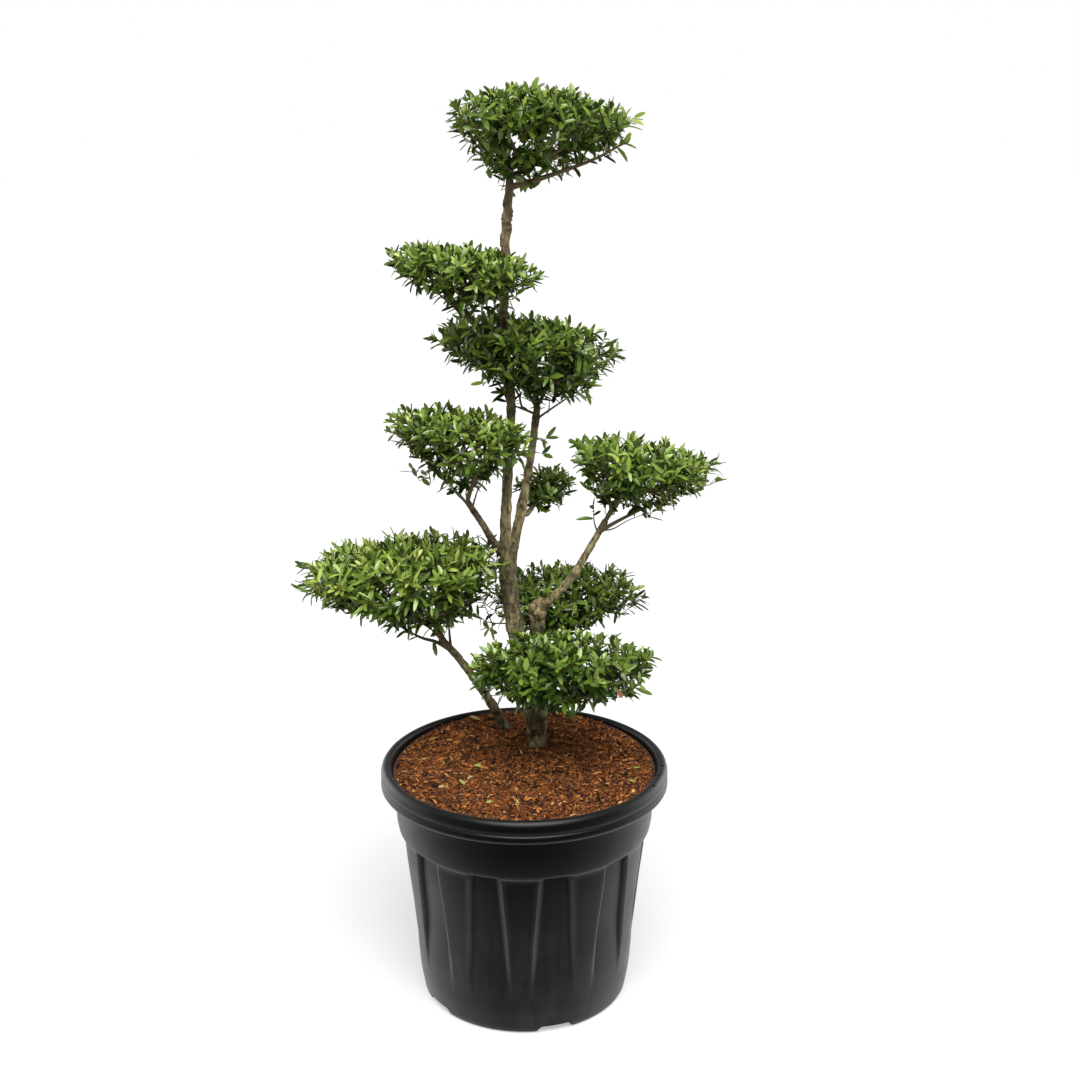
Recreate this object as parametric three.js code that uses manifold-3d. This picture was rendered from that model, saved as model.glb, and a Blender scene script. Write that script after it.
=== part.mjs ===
// Japanese holly (Ilex crenata) grown as a cloud-pruned shrub in a round, fluted nursery pot.
// Two stems and a low bough rise from one foot, and nine clipped clouds of foliage stand on them.
//
// Units are millimetres. +Z is up, +X is right and +Y is back as the plant is seen from the front.
// The origin is on the flat underside of the pot, on its axis.

import * as THREE from 'three';
import { mergeVertices } from 'three/addons/utils/BufferGeometryUtils.js';
import Module from 'manifold-3d';

const wasm = await Module();
wasm.setup();

// Driving dimensions of the pot
const POT_HEIGHT = 428.5;
const RIM_RADIUS = 250.5;
const RIM_INNER_RADIUS = 232.5;
const LIP_BOTTOM = 390;
const NECK_RADIUS = 226;
const SHOULDER_HEIGHT = 312;
const SHOULDER_RADIUS = 214;
const BELLY_HEIGHT = 190;
const BELLY_RADIUS = 203;
const FOOT_RADIUS = 183;
const STANDING_RADIUS = 172;
const FLOOR_THICKNESS = 16;
const WALL = 3.5;

// Eleven raised flutes between eleven recesses, narrower and shallower towards the foot. The edge lead is
// how far below the fade their edges are already in place, as a share of the fade.
const FLUTES = 11;
const FLUTE_DEPTH = 8.5;
const FLUTE_TURN = -1.4;
const FLUTE_WIDTH_TOP = 17.7;
const FLUTE_WIDTH_FOOT = 12;
const FLUTE_FLANK = 1.7;
const FLUTE_FADE_HEIGHT = 55;
const FLUTE_EDGE_LEAD = 0.6;
const COLUMNS_PER_FLUTE = 6;
const COLUMNS = FLUTES * COLUMNS_PER_FLUTE;

// Five drainage notches in the foot
const NOTCHES = 5;
const NOTCH_TURN = 17;
const NOTCH_WIDTH = 70;
const NOTCH_HEIGHT = 12.5;
const NOTCH_DEPTH = 28;
const NOTCH_TAPER = 0.7;

// Soil: low at the wall, mounded at the foot of the plant, higher behind on the right
const SOIL_AT_WALL = 414;
const SOIL_AT_CENTRE = 439;
const SOIL_BACK_RISE = 8;
const SOIL_BACK_TURN = 130;
const SOIL_LUMP = 2.2;
const SOIL_COLUMNS = COLUMNS / 2;

// Clearance between neighbouring solids, the shortest edge kept, and the height of the stems' flat feet
const GAP = 0.3;
const FINEST_EDGE = 0.03;
const FOOT_HEIGHT = 431;

// Limbs: control points of the centre line, and [share of the length, radius] along it
const LIMBS = {
  trunk: {
    path: [[21, 51, 415], [17, 49, 470], [-1, 46, 568], [-23, 44, 707], [-31, 41, 800], [-26, 37, 957],
      [-21, 39, 1050], [-32, 42, 1180], [-30, 40, 1290], [-22, 40, 1402]],
    girth: [[0, 27], [0.03, 21.5], [0.07, 16.5], [0.2, 15.2], [0.34, 15], [0.39, 10.4], [0.6, 8.6],
      [0.8, 7.6], [1, 7]],
    sides: 10,
    step: 42,
  },
  second_stem: {
    path: [[-25, 45, 752], [-19, 52, 795], [-4, 64, 867], [11, 71, 950], [21, 76, 1026]],
    girth: [[0, 9.5], [0.35, 8.3], [0.43, 9.6], [0.52, 7.4], [1, 6.4]],
    sides: 8,
    step: 34,
  },
  right_stem: {
    path: [[13, 48, 470], [17, 38, 520], [23, 26, 590], [22, 20, 661], [25, 17, 700]],
    girth: [[0, 12.5], [0.5, 13.4], [1, 13]],
    sides: 9,
    step: 34,
  },
  bough_right: {
    path: [[24, 17, 697], [55, 8, 728], [84, 3, 766], [112, 0, 815], [130, 0, 848]],
    girth: [[0, 9.6], [0.3, 8.2], [1, 6.6]],
    sides: 8,
    step: 24,
  },
  bough_mid_left: {
    path: [[-29, 41, 782], [-46, 32, 806], [-69, 18, 849], [-87, 10, 880]],
    girth: [[0, 8.6], [0.4, 7.4], [1, 6.2]],
    sides: 8,
    step: 24,
  },
  bough_mid_rear: {
    path: [[-6, 63, 858], [4, 86, 850], [14, 112, 856]],
    girth: [[0, 5.4], [1, 4.2]],
    sides: 8,
    step: 20,
  },
  bough_upper_left: {
    path: [[-30, 42, 1148], [-51, 28, 1168], [-73, 16, 1184], [-91, 8, 1199]],
    girth: [[0, 6.6], [1, 4.8]],
    sides: 8,
    step: 22,
  },
  bough_lower_left: {
    path: [[-27, 124, 415], [-51, 112, 471], [-84, 96, 532], [-118, 80, 589], [-132, 74, 608]],
    girth: [[0, 11.5], [0.12, 9.4], [0.6, 7.6], [1, 6.6]],
    sides: 8,
    step: 26,
  },
  bough_lower_rear: {
    path: [[13, 48, 490], [30, 84, 520], [50, 124, 556], [62, 148, 588]],
    girth: [[0, 8.2], [1, 5.6]],
    sides: 8,
    step: 24,
  },
  bough_lower_front: {
    path: [[17, 37, 518], [26, 4, 528], [36, -22, 538], [43, -42, 552]],
    girth: [[0, 7.2], [1, 5.4]],
    sides: 8,
    step: 22,
  },
};

// The knobbly callus on top of the right stem, where the bough leaves it
const BURL_CENTRE = [25.5, 18, 692];
const BURL_RADII = [18.5, 17.5, 20];
const BURL_LUMP = 0.13;
const BURL_FROM = 0.75;
const BURL_SWELLING = 6;

// Clouds of foliage. Each fills its own space round a widest ring: a dome of the given rise above it
// and a bowl or cone of the given drop below it. `lean` is the ring's slope along X and `under` is the
// exponent of the underside (1 is a straight cone). `sprays` stand on twigs round the rim and the
// underside, and `crown` is the number of leaves on the dome of the dense heart.
const CLOUDS = [
  { name: 'foliage_top', bough: 'trunk', seed: 3,
    centre: [27, 40, 1512], half: [149, 118],
    rise: 51, drop: 122, lean: 0.02, under: 1.35, sprays: 7, crown: 22 },
  { name: 'foliage_upper_left', bough: 'bough_upper_left', seed: 14,
    centre: [-96, -12, 1288], half: [127, 100],
    rise: 33, drop: 96, lean: -0.08, under: 1.25, sprays: 6, crown: 17 },
  { name: 'foliage_upper_centre', bough: 'second_stem', seed: 25,
    centre: [10, 82, 1140], half: [159, 122],
    rise: 57, drop: 118, lean: -0.1, under: 1.4, sprays: 8, crown: 24 },
  { name: 'foliage_mid_left', bough: 'bough_mid_left', seed: 36,
    centre: [-102, -14, 1020], half: [131, 104],
    rise: 39, drop: 140, lean: -0.1, under: 1.3, sprays: 7, crown: 18 },
  { name: 'foliage_mid_rear', bough: 'bough_mid_rear', seed: 47,
    centre: [38, 152, 884], half: [60, 60],
    rise: 38, drop: 48, lean: 0.03, under: 1.7, sprays: 4, crown: 9 },
  { name: 'foliage_right', bough: 'bough_right', seed: 58,
    centre: [202, -2, 965], half: [129, 102],
    rise: 39, drop: 122, lean: -0.13, under: 1.25, sprays: 7, crown: 18 },
  { name: 'foliage_lower_left', bough: 'bough_lower_left', seed: 69,
    centre: [-214, 22, 762], half: [181, 136],
    rise: 73, drop: 122, lean: 0.09, under: 1.9, sprays: 9, crown: 31 },
  { name: 'foliage_lower_rear', bough: 'bough_lower_rear', seed: 83,
    centre: [68, 192, 668], half: [149, 106],
    rise: 66, drop: 84, lean: 0.03, under: 1.8, sprays: 7, crown: 22 },
  { name: 'foliage_lower_front', bough: 'bough_lower_front', seed: 91,
    centre: [62, -72, 628], half: [170, 110],
    rise: 59, drop: 88, lean: 0.03, under: 1.8, sprays: 8, crown: 25 },
];

// The dense heart's share of the cloud at its ring, at its top and at its underside
const HEART_RING = 0.74;
const HEART_TOP = 0.45;
const HEART_UNDER = 0.5;
const HEART_ROOT = 0.88;

// The shape of a cloud, and how far inside its neighbours' surfaces it stops
const DOME_POWER = 2.4;
const WOBBLE = 0.05;
const SPACE_FLOOR = 0.9;
const SPACE_MARGIN = 0.06;

// How a cloud grows: arms fan out from its stem, and sprays of leaves stand on twigs off the arms.
// Rings and levels are shares of the cloud's size.
const STEM_LENGTH = 14;
const STEM_STEP = 0.4;
const STEM_SIDES = 6;
const ARMS = 4;
const ARM_RING = 0.55;
const ARM_LEVEL = 0.62;
const SPRAY_LEVEL = 0.8;
const RIM_RINGS = [0.84, 0.96];
const UNDER_RINGS = [0.55, 0.95];
const JITTER = 7;

// Twigs: each leaves the skeleton where length, turn and distance from the stem cost least
const TWIG_STEP = 55;
const TWIG_SAG = 0.1;
const TWIG_LEAD = 0.12;
const REACH_COST = 0.25;
const TURN_COST = 0.5;
const TWIG_SIDES = 3;
const TWIG_TIP_RADIUS = 3.2;
const TWIG_SPREAD_POWER = 0.36;
const TWIG_NECK = 0.47;
const TWIG_CLEARANCE = 4.5;
const TWIG_REACH = 1.02;
const GOLDEN_ANGLE = Math.PI * (3 - Math.sqrt(5));

// Leaves, drawn larger than life so that a few hundred fill the crown
const LEAF_LENGTH = 50;
const LEAF_WIDTH = 19;
const LEAF_THICKNESS = 2.6;
const LEAVES_PER_SPRAY = 4;
const LEAF_SPACING = 8;
const LEAF_SINK = 1.9;
const LEAF_SPREAD = 48;
const LEAF_CLEARANCE = 2.5;
const LEAF_REACH = 1.06;
const SPRAY_OUTWARD = 0.3;
const SPRAY_UPWARD = 0.25;
const CROWN_UPWARD = 0.3;
const FACE_FORWARD = 0.2;
const FACE_UPWARD = 0.9;
const SIDE_REFERENCE = [0.3, 0.2, 1];

// The thickness and width of a leaf's three-sided section, as shares of its circle's diameter
const SPINE_SHARE = 0.75;
const BLADE_SHARE = Math.sqrt(0.75);

// Room a leaf needs round the places along its midrib, the turns tried for it, and the room at its tip
const LEAF_ROOM = 4.5;
const TIP_ROOM = 1;
const ROOM_PLACES = [0.3, 0.55, 0.8, 1];
const LEAF_TURNS = 7;

const COLOURS = {
  pot: 0x1d1f1e,
  soil: 0x6b3a24,
  bark: 0x6f6352,
  foliage: 0x3c6b28,
};

// Solids and booleans

function solidOf(geometry) {
  const bare = geometry.clone();
  bare.deleteAttribute('normal');
  bare.deleteAttribute('uv');
  const merged = mergeVertices(bare, 1e-4);
  const mesh = new wasm.Mesh({
    numProp: 3,
    vertProperties: merged.attributes.position.array,
    triVerts: merged.index.array,
  });
  return new wasm.Manifold(mesh);
}

function geometryOf(solid) {
  const mesh = solid.getMesh();
  const geometry = new THREE.BufferGeometry();
  geometry.setAttribute('position', new THREE.BufferAttribute(mesh.vertProperties, 3));
  geometry.setIndex(new THREE.BufferAttribute(mesh.triVerts, 1));
  const faceted = geometry.toNonIndexed();
  faceted.computeVertexNormals();
  return faceted;
}

function largestOf(solid) {
  const bodies = solid.decompose();
  return bodies.reduce((a, b) => (b.volume() > a.volume() ? b : a));
}

function withoutBelow(solid, height) {
  const size = 2 * POT_HEIGHT + 2 * RIM_RADIUS;
  const slab = new THREE.BoxGeometry(size, size, size);
  slab.translate(0, 0, height - size / 2);
  return solid.subtract(solidOf(slab));
}

// Repeatable random numbers from 0 to 1 (mulberry32)
function randomFrom(seed) {
  let state = seed >>> 0;
  return () => {
    state = (state + 0x6d2b79f5) >>> 0;
    let mixed = Math.imul(state ^ (state >>> 15), 1 | state);
    mixed = (mixed + Math.imul(mixed ^ (mixed >>> 7), 61 | mixed)) ^ mixed;
    return ((mixed ^ (mixed >>> 14)) >>> 0) / 4294967296;
  };
}

const UP = new THREE.Vector3(0, 0, 1);
const vector = (point) => new THREE.Vector3(...point);

function blend(stops, at) {
  let index = 1;
  while (index < stops.length - 1 && at > stops[index][0]) index += 1;
  const [start, from] = stops[index - 1];
  const [end, to] = stops[index];
  return THREE.MathUtils.lerp(from, to, THREE.MathUtils.clamp((at - start) / (end - start), 0, 1));
}

// Pot

// Half profile of the pot as [radius, height]: underside, outer wall, rolled rim, inner wall, floor
function potProfile() {
  const neck = SHOULDER_HEIGHT + 3;
  const inside = SHOULDER_RADIUS - FLUTE_DEPTH - WALL;
  return [
    [0, 0],
    [STANDING_RADIUS, 0],
    [FOOT_RADIUS - 1, 5],
    [FOOT_RADIUS + 7, 68],
    [BELLY_RADIUS, BELLY_HEIGHT],
    [SHOULDER_RADIUS, SHOULDER_HEIGHT - 4],
    [NECK_RADIUS - 4.5, neck],
    [NECK_RADIUS, LIP_BOTTOM + 2],
    [RIM_RADIUS - 1.5, LIP_BOTTOM],
    [RIM_RADIUS + 0.5, LIP_BOTTOM + 13],
    [RIM_RADIUS, POT_HEIGHT - 12],
    [RIM_RADIUS - 4, POT_HEIGHT - 2],
    [RIM_INNER_RADIUS + 5, POT_HEIGHT],
    [RIM_INNER_RADIUS, POT_HEIGHT - 6],
    [NECK_RADIUS - WALL, LIP_BOTTOM - 2],
    [NECK_RADIUS - WALL - 4, neck + 14],
    [inside, SHOULDER_HEIGHT - 8],
    [FOOT_RADIUS - WALL - 2, FLOOR_THICKNESS],
    [0, FLOOR_THICKNESS],
  ];
}

function insideRadiusAt(height) {
  const wall = potProfile().slice(-6, -1).reverse();
  return blend(wall.map(([radius, level]) => [level, radius]), height);
}

// A lathed shape whose axis is +Z, with angle 0 at the front and growing to the right
function lathed(profile, columns) {
  const points = profile.map(([radius, height]) => new THREE.Vector2(radius, height));
  const geometry = new THREE.LatheGeometry(points, columns);
  geometry.rotateX(Math.PI / 2);
  return geometry;
}

// Turns the lathe's even columns into the edges of the flutes and sets the recesses back
function flute(geometry) {
  const spots = geometry.attributes.position;
  const module = 360 / FLUTES;
  for (let index = 0; index < spots.count; index += 1) {
    const spot = new THREE.Vector3().fromBufferAttribute(spots, index);
    const radius = Math.hypot(spot.x, spot.y);
    const onOuterWall = radius > insideRadiusAt(spot.z) + 1 && radius > STANDING_RADIUS + 1;
    const evenTurn = THREE.MathUtils.radToDeg(Math.atan2(spot.x, -spot.y));
    let turn = evenTurn + FLUTE_TURN;
    let depth = 0;
    if (onOuterWall && spot.z < SHOULDER_HEIGHT) {
      const share = (spot.z - FLUTE_FADE_HEIGHT) / (BELLY_HEIGHT - FLUTE_FADE_HEIGHT);
      const width = THREE.MathUtils.lerp(FLUTE_WIDTH_FOOT, FLUTE_WIDTH_TOP,
        THREE.MathUtils.clamp(spot.z / SHOULDER_HEIGHT, 0, 1));
      const column = Math.round(evenTurn / (360 / COLUMNS));
      const nearest = Math.round(column / COLUMNS_PER_FLUTE);
      const step = column - nearest * COLUMNS_PER_FLUTE;
      const offsets = [0, width / 2, width / 2 + FLUTE_FLANK, module / 2];
      const fluted = nearest * module + Math.sign(step) * offsets[Math.abs(step)];
      const settled = THREE.MathUtils.clamp(share + FLUTE_EDGE_LEAD, 0, 1);
      turn = FLUTE_TURN + THREE.MathUtils.lerp(evenTurn, fluted, settled);
      depth = Math.abs(step) >= 2 ? FLUTE_DEPTH * THREE.MathUtils.smoothstep(share, 0, 1) : 0;
    }
    const angle = THREE.MathUtils.degToRad(turn);
    spots.setXYZ(index, (radius - depth) * Math.sin(angle), -(radius - depth) * Math.cos(angle), spot.z);
  }
  return geometry;
}

function pot() {
  let body = solidOf(flute(lathed(potProfile(), COLUMNS)));
  for (let index = 0; index < NOTCHES; index += 1) {
    const corner = Math.SQRT1_2;
    const notch = new THREE.CylinderGeometry(NOTCH_TAPER * corner, corner, 2 * NOTCH_HEIGHT, 4, 1);
    notch.rotateY(Math.PI / 4);
    notch.scale(NOTCH_WIDTH, 1, 2 * NOTCH_DEPTH);
    notch.rotateX(Math.PI / 2);
    notch.translate(0, -FOOT_RADIUS, 0);
    notch.rotateZ(THREE.MathUtils.degToRad(NOTCH_TURN + (index * 360) / NOTCHES));
    body = body.subtract(solidOf(notch));
  }
  return body;
}

// Soil

function soilHeight(x, y) {
  const edge = insideRadiusAt(SOIL_AT_WALL);
  const turn = Math.atan2(x, -y) - THREE.MathUtils.degToRad(SOIL_BACK_TURN);
  const wall = SOIL_AT_WALL + SOIL_BACK_RISE * Math.max(0, Math.cos(turn));
  const share = Math.min(1, Math.hypot(x, y) / edge);
  const lumps = Math.sin(x / 19 + 1.3 * Math.sin(y / 31)) * Math.cos(y / 23 + x / 57);
  return THREE.MathUtils.lerp(SOIL_AT_CENTRE, wall, share * share) + SOIL_LUMP * lumps * (1 - share ** 4);
}

function soil() {
  const edge = insideRadiusAt(SOIL_AT_WALL) - 2 * GAP;
  const rings = [0.8, 0.52, 0.24];
  const walls = [SHOULDER_HEIGHT - 8, SHOULDER_HEIGHT + 17, LIP_BOTTOM - 2];
  const profile = [
    [0, FLOOR_THICKNESS + GAP],
    [insideRadiusAt(FLOOR_THICKNESS) - 2 * GAP, FLOOR_THICKNESS + GAP],
    ...walls.map((height) => [insideRadiusAt(height) - 2 * GAP, height]),
    [edge, SOIL_AT_WALL],
    ...rings.map((share) => [edge * share, SOIL_AT_CENTRE]),
    [0, SOIL_AT_CENTRE],
  ];
  const geometry = lathed(profile, SOIL_COLUMNS);
  const spots = geometry.attributes.position;
  for (let index = 0; index < spots.count; index += 1) {
    if (spots.getZ(index) >= SOIL_AT_WALL - 1) {
      spots.setZ(index, soilHeight(spots.getX(index), spots.getY(index)));
    }
  }
  return solidOf(geometry);
}

// Limbs

// A closed cylinder bent along a smooth curve, with its radius given by the share of the length
function bentTube(curve, radiusAt, sides, rows) {
  const frames = curve.computeFrenetFrames(rows, false);
  const geometry = new THREE.CylinderGeometry(1, 1, 1, sides, rows);
  const spots = geometry.attributes.position;
  for (let index = 0; index < spots.count; index += 1) {
    const row = Math.round((spots.getY(index) + 0.5) * rows);
    const radius = radiusAt(row / rows);
    const spot = curve.getPointAt(row / rows);
    spot.addScaledVector(frames.normals[row], spots.getX(index) * radius);
    spot.addScaledVector(frames.binormals[row], -spots.getZ(index) * radius);
    spots.setXYZ(index, spot.x, spot.y, spot.z);
  }
  return geometry;
}

function limbCurve(limb) {
  return new THREE.CatmullRomCurve3(limb.path.map(vector), false, 'centripetal');
}

function limbSolid(name, growth = 0) {
  const limb = LIMBS[name];
  const curve = limbCurve(limb);
  const rows = Math.round(curve.getLength() / limb.step);
  const tube = solidOf(bentTube(curve, (share) => blend(limb.girth, share) + growth, limb.sides, rows));
  return name === 'right_stem' ? tube.add(burl(growth)) : tube;
}

function burl(growth = 0) {
  const geometry = new THREE.IcosahedronGeometry(1, 1);
  const spots = geometry.attributes.position;
  for (let index = 0; index < spots.count; index += 1) {
    const way = new THREE.Vector3().fromBufferAttribute(spots, index).normalize();
    const knob = Math.sin(5.3 * way.x + 1) * Math.sin(4.7 * way.y) + Math.cos(6.1 * way.z + 2 * way.x);
    const size = 1 + (BURL_LUMP * knob) / 2;
    spots.setXYZ(index,
      BURL_CENTRE[0] + way.x * (BURL_RADII[0] * size + growth),
      BURL_CENTRE[1] + way.y * (BURL_RADII[1] * size + growth),
      BURL_CENTRE[2] + way.z * (BURL_RADII[2] * size + growth));
  }
  return solidOf(geometry);
}

// Which limb each limb leaves, and is cut clear of
const PARENTS = {
  second_stem: ['trunk'],
  right_stem: ['trunk'],
  bough_right: ['right_stem'],
  bough_mid_left: ['trunk', 'second_stem'],
  bough_mid_rear: ['second_stem'],
  bough_upper_left: ['trunk'],
  bough_lower_left: [],
  bough_lower_rear: ['trunk', 'right_stem'],
  bough_lower_front: ['trunk', 'right_stem'],
};

// Centre lines of all limbs as short stretches with a radius, for keeping foliage clear of them
const STRETCH_LENGTH = 12;
const STRETCHES = Object.entries(LIMBS).flatMap(([name, limb]) => {
  const curve = limbCurve(limb);
  const count = Math.ceil(curve.getLength() / STRETCH_LENGTH);
  const stretches = [];
  for (let index = 0; index < count; index += 1) {
    const swelling = name === 'right_stem' && index > BURL_FROM * count ? BURL_SWELLING : 0;
    stretches.push({
      name,
      line: new THREE.Line3(curve.getPointAt(index / count), curve.getPointAt((index + 1) / count)),
      radius: blend(limb.girth, index / count) + swelling,
    });
  }
  return stretches;
});

function clearOfLimbs(point, distance, exempt) {
  const nearest = new THREE.Vector3();
  return STRETCHES.every(({ name, line, radius }) => {
    if (name === exempt) return true;
    line.closestPointToPoint(point, true, nearest);
    return nearest.distanceTo(point) > radius + distance;
  });
}

// Clouds of foliage

// The waviness of a cloud's outline as seen from above
function wobbleAt(cloud, turn) {
  return 1 + WOBBLE * (Math.sin(3 * turn + cloud.seed) + Math.sin(5 * turn + 2 * cloud.seed));
}

// Distance from a cloud's ring centre in shares of its own size: 1 on its surface, less inside
function levelIn(cloud, point) {
  const x = point.x - cloud.centre[0];
  const y = point.y - cloud.centre[1];
  const z = point.z - cloud.centre[2] - cloud.lean * x;
  const turn = Math.atan2(y, x);
  const ring = Math.hypot(x / cloud.half[0], y / cloud.half[1]) / wobbleAt(cloud, turn);
  const power = z > 0 ? DOME_POWER : cloud.under;
  const height = z > 0 ? z / cloud.rise : -z / cloud.drop;
  return (ring ** power + height ** power) ** (1 / power);
}

// The point of a cloud at a share of its ring, a turn, and a level; above the ring or below it
function pointIn(cloud, ring, turn, level, above) {
  const wobble = wobbleAt(cloud, turn);
  const power = above ? DOME_POWER : cloud.under;
  const height = Math.max(0, 1 - ring ** power) ** (1 / power);
  const x = level * ring * wobble * Math.cos(turn) * cloud.half[0];
  const y = level * ring * wobble * Math.sin(turn) * cloud.half[1];
  const z = cloud.lean * x + level * height * (above ? cloud.rise : -cloud.drop);
  return new THREE.Vector3(x, y, z).add(vector(cloud.centre));
}

function inOwnSpace(cloud, point, limit = 1) {
  const own = levelIn(cloud, point);
  const least = Math.max(own, SPACE_FLOOR) + SPACE_MARGIN;
  return own < limit && CLOUDS.every((other) => other === cloud || levelIn(other, point) > least);
}

// Grows a branch from the nearest suitable place on the skeleton to the target
function growTo(skeleton, target, cloud) {
  let start = null;
  let least = Infinity;
  for (const node of skeleton) {
    const way = target.clone().sub(node.point);
    const turn = 1 - way.clone().normalize().dot(node.heading);
    const cost = way.length() * (1 + TURN_COST * turn) + REACH_COST * node.reach;
    if (cost < least) {
      least = cost;
      start = node;
    }
  }
  const span = start.point.distanceTo(target);
  const middle = start.point.clone().lerp(target, 0.5).addScaledVector(start.heading, TWIG_LEAD * span);
  middle.z -= TWIG_SAG * span;
  const bend = new THREE.QuadraticBezierCurve3(start.point, middle, target);
  const count = Math.max(1, Math.round(span / TWIG_STEP));
  const branch = [start];
  for (let index = 1; index <= count; index += 1) {
    const point = bend.getPoint(index / count);
    const clear = clearOfLimbs(point, TWIG_CLEARANCE, span < TWIG_STEP ? cloud.bough : null);
    const apart = point.distanceTo(skeleton[0].point) < TWIG_STEP || inOwnSpace(cloud, point, TWIG_REACH);
    if (!clear || !apart) return null;
    const parent = branch[branch.length - 1];
    branch.push({
      point,
      parent,
      heading: bend.getTangent(index / count),
      reach: parent.reach + point.distanceTo(parent.point),
      load: 0,
    });
  }
  skeleton.push(...branch.slice(1));
  for (let node = branch[branch.length - 1]; node; node = node.parent) node.load += 1;
  return branch;
}

// The place on a branch's line at a distance back from its tip
function pointBack(branch, distance) {
  let left = distance;
  for (let index = branch.length - 1; index > 0; index -= 1) {
    const { point } = branch[index];
    const { point: before } = branch[index - 1];
    const span = point.distanceTo(before);
    if (left <= span || index === 1) {
      return {
        point: point.clone().lerp(before, Math.min(1, left / span)),
        heading: point.clone().sub(before).normalize(),
      };
    }
    left -= span;
  }
  throw new Error('a branch has one node only');
}

function twigRadius(node) {
  return TWIG_TIP_RADIUS * Math.max(1, node.load) ** TWIG_SPREAD_POWER;
}

function clearOfTaken(line, taken) {
  const nearest = new THREE.Vector3();
  return ROOM_PLACES.every((share) => {
    const point = line.at(share, new THREE.Vector3());
    const width = share < 1 ? LEAF_ROOM : TIP_ROOM;
    return taken.every((other) => {
      other.line.closestPointToPoint(point, true, nearest);
      return nearest.distanceTo(point) > other.radius + width;
    });
  });
}

// The first turn round the axis at which a leaf has room, or null where there is none
function placeLeaf(cloud, foot, axis, turned, taken) {
  const side = new THREE.Vector3().crossVectors(axis, vector(SIDE_REFERENCE)).normalize();
  for (let turn = 0; turn < LEAF_TURNS; turn += 1) {
    const around = side.clone().applyAxisAngle(axis, turned + turn * GOLDEN_ANGLE);
    const spread = THREE.MathUtils.degToRad(LEAF_SPREAD);
    const way = axis.clone().multiplyScalar(Math.cos(spread)).addScaledVector(around, Math.sin(spread));
    const line = new THREE.Line3(foot, foot.clone().addScaledVector(way, LEAF_LENGTH - LEAF_SINK));
    const middle = line.getCenter(new THREE.Vector3());
    const inside = inOwnSpace(cloud, line.end, LEAF_REACH) && inOwnSpace(cloud, middle);
    const clear = clearOfLimbs(middle, LEAF_WIDTH / 2 + LEAF_CLEARANCE, null)
      && clearOfLimbs(line.end, LEAF_CLEARANCE, null);
    if (inside && clear && clearOfTaken(line, taken)) {
      const face = around.negate().addScaledVector(axis, FACE_FORWARD).addScaledVector(UP, FACE_UPWARD);
      return { line, face };
    }
  }
  return null;
}

// A leaf is two three-sided points base to base: a flat blade above and a keel below
function leafGeometry({ line, face }, sink) {
  const length = line.delta(new THREE.Vector3()).normalize();
  const width = new THREE.Vector3().crossVectors(face, length).normalize();
  const normal = new THREE.Vector3().crossVectors(length, width);
  const geometry = new THREE.SphereGeometry(0.5, 3, 2);
  geometry.scale(LEAF_THICKNESS / SPINE_SHARE, LEAF_LENGTH, LEAF_WIDTH / BLADE_SHARE);
  geometry.translate(0, LEAF_LENGTH / 2 - sink, 0);
  geometry.applyMatrix4(new THREE.Matrix4().makeBasis(normal, length, width).setPosition(line.start));
  return geometry;
}

// A point on the surface of a cloud's dense heart, in a direction from its centre
function heartPoint(cloud, way) {
  const x = way.x * cloud.half[0];
  const y = way.y * cloud.half[1];
  const z = way.z * (way.z > 0 ? cloud.rise : cloud.drop) + cloud.lean * x;
  const centre = vector(cloud.centre);
  const point = new THREE.Vector3(x, y, z).add(centre);
  const share = THREE.MathUtils.lerp(HEART_RING, way.z > 0 ? HEART_TOP : HEART_UNDER, Math.abs(way.z));
  const size = share / levelIn(cloud, point);
  return point.sub(centre).multiplyScalar(size).add(centre);
}

function heartSolid(cloud) {
  const geometry = new THREE.IcosahedronGeometry(1, 1);
  const spots = geometry.attributes.position;
  for (let index = 0; index < spots.count; index += 1) {
    const point = heartPoint(cloud, new THREE.Vector3().fromBufferAttribute(spots, index));
    spots.setXYZ(index, point.x, point.y, point.z);
  }
  let heart = solidOf(geometry);
  for (const name of Object.keys(LIMBS)) heart = heart.subtract(limbSolid(name, LEAF_CLEARANCE));
  return largestOf(heart);
}

// The branches of a cloud, each a list of nodes from its foot to its tip: the stem, arms and sprays
function branchesOf(cloud, stemCurve, random) {
  const heading = stemCurve.getTangentAt(1);
  const foot = stemCurve.getPointAt(1).addScaledVector(heading, GAP);
  const root = { point: foot, heading, reach: 0, load: 0 };
  const end = foot.clone().addScaledVector(heading, STEM_LENGTH);
  const tip = { point: end, heading, reach: STEM_LENGTH, load: 0, parent: root };
  const stem = [root, tip];
  const skeleton = [...stem];

  const arms = [];
  for (let index = 0; index < ARMS; index += 1) {
    const target = pointIn(cloud, ARM_RING, index * GOLDEN_ANGLE + cloud.seed, ARM_LEVEL, index % 2 === 0);
    const branch = growTo([tip], target, cloud);
    if (branch) arms.push(branch);
  }
  for (const arm of arms) skeleton.push(...arm.slice(1));

  const sprays = [];
  for (let index = 0; index < cloud.sprays; index += 1) {
    const above = index % 2 === 0;
    const rings = above ? RIM_RINGS : UNDER_RINGS;
    const ring = THREE.MathUtils.lerp(...rings, (index + 0.5) / cloud.sprays);
    const target = pointIn(cloud, ring, index * GOLDEN_ANGLE + 2 * cloud.seed, SPRAY_LEVEL, above);
    target.x += JITTER * (random() - 0.5);
    target.y += JITTER * (random() - 0.5);
    target.z += JITTER * (random() - 0.5);
    const branch = growTo(skeleton, target, cloud);
    if (branch) sprays.push(branch);
  }
  return { stem, arms, sprays };
}

function branchLine(branch) {
  const line = new THREE.CurvePath();
  for (let index = 1; index < branch.length; index += 1) {
    line.add(new THREE.LineCurve3(branch[index - 1].point, branch[index].point));
  }
  return line;
}

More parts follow.
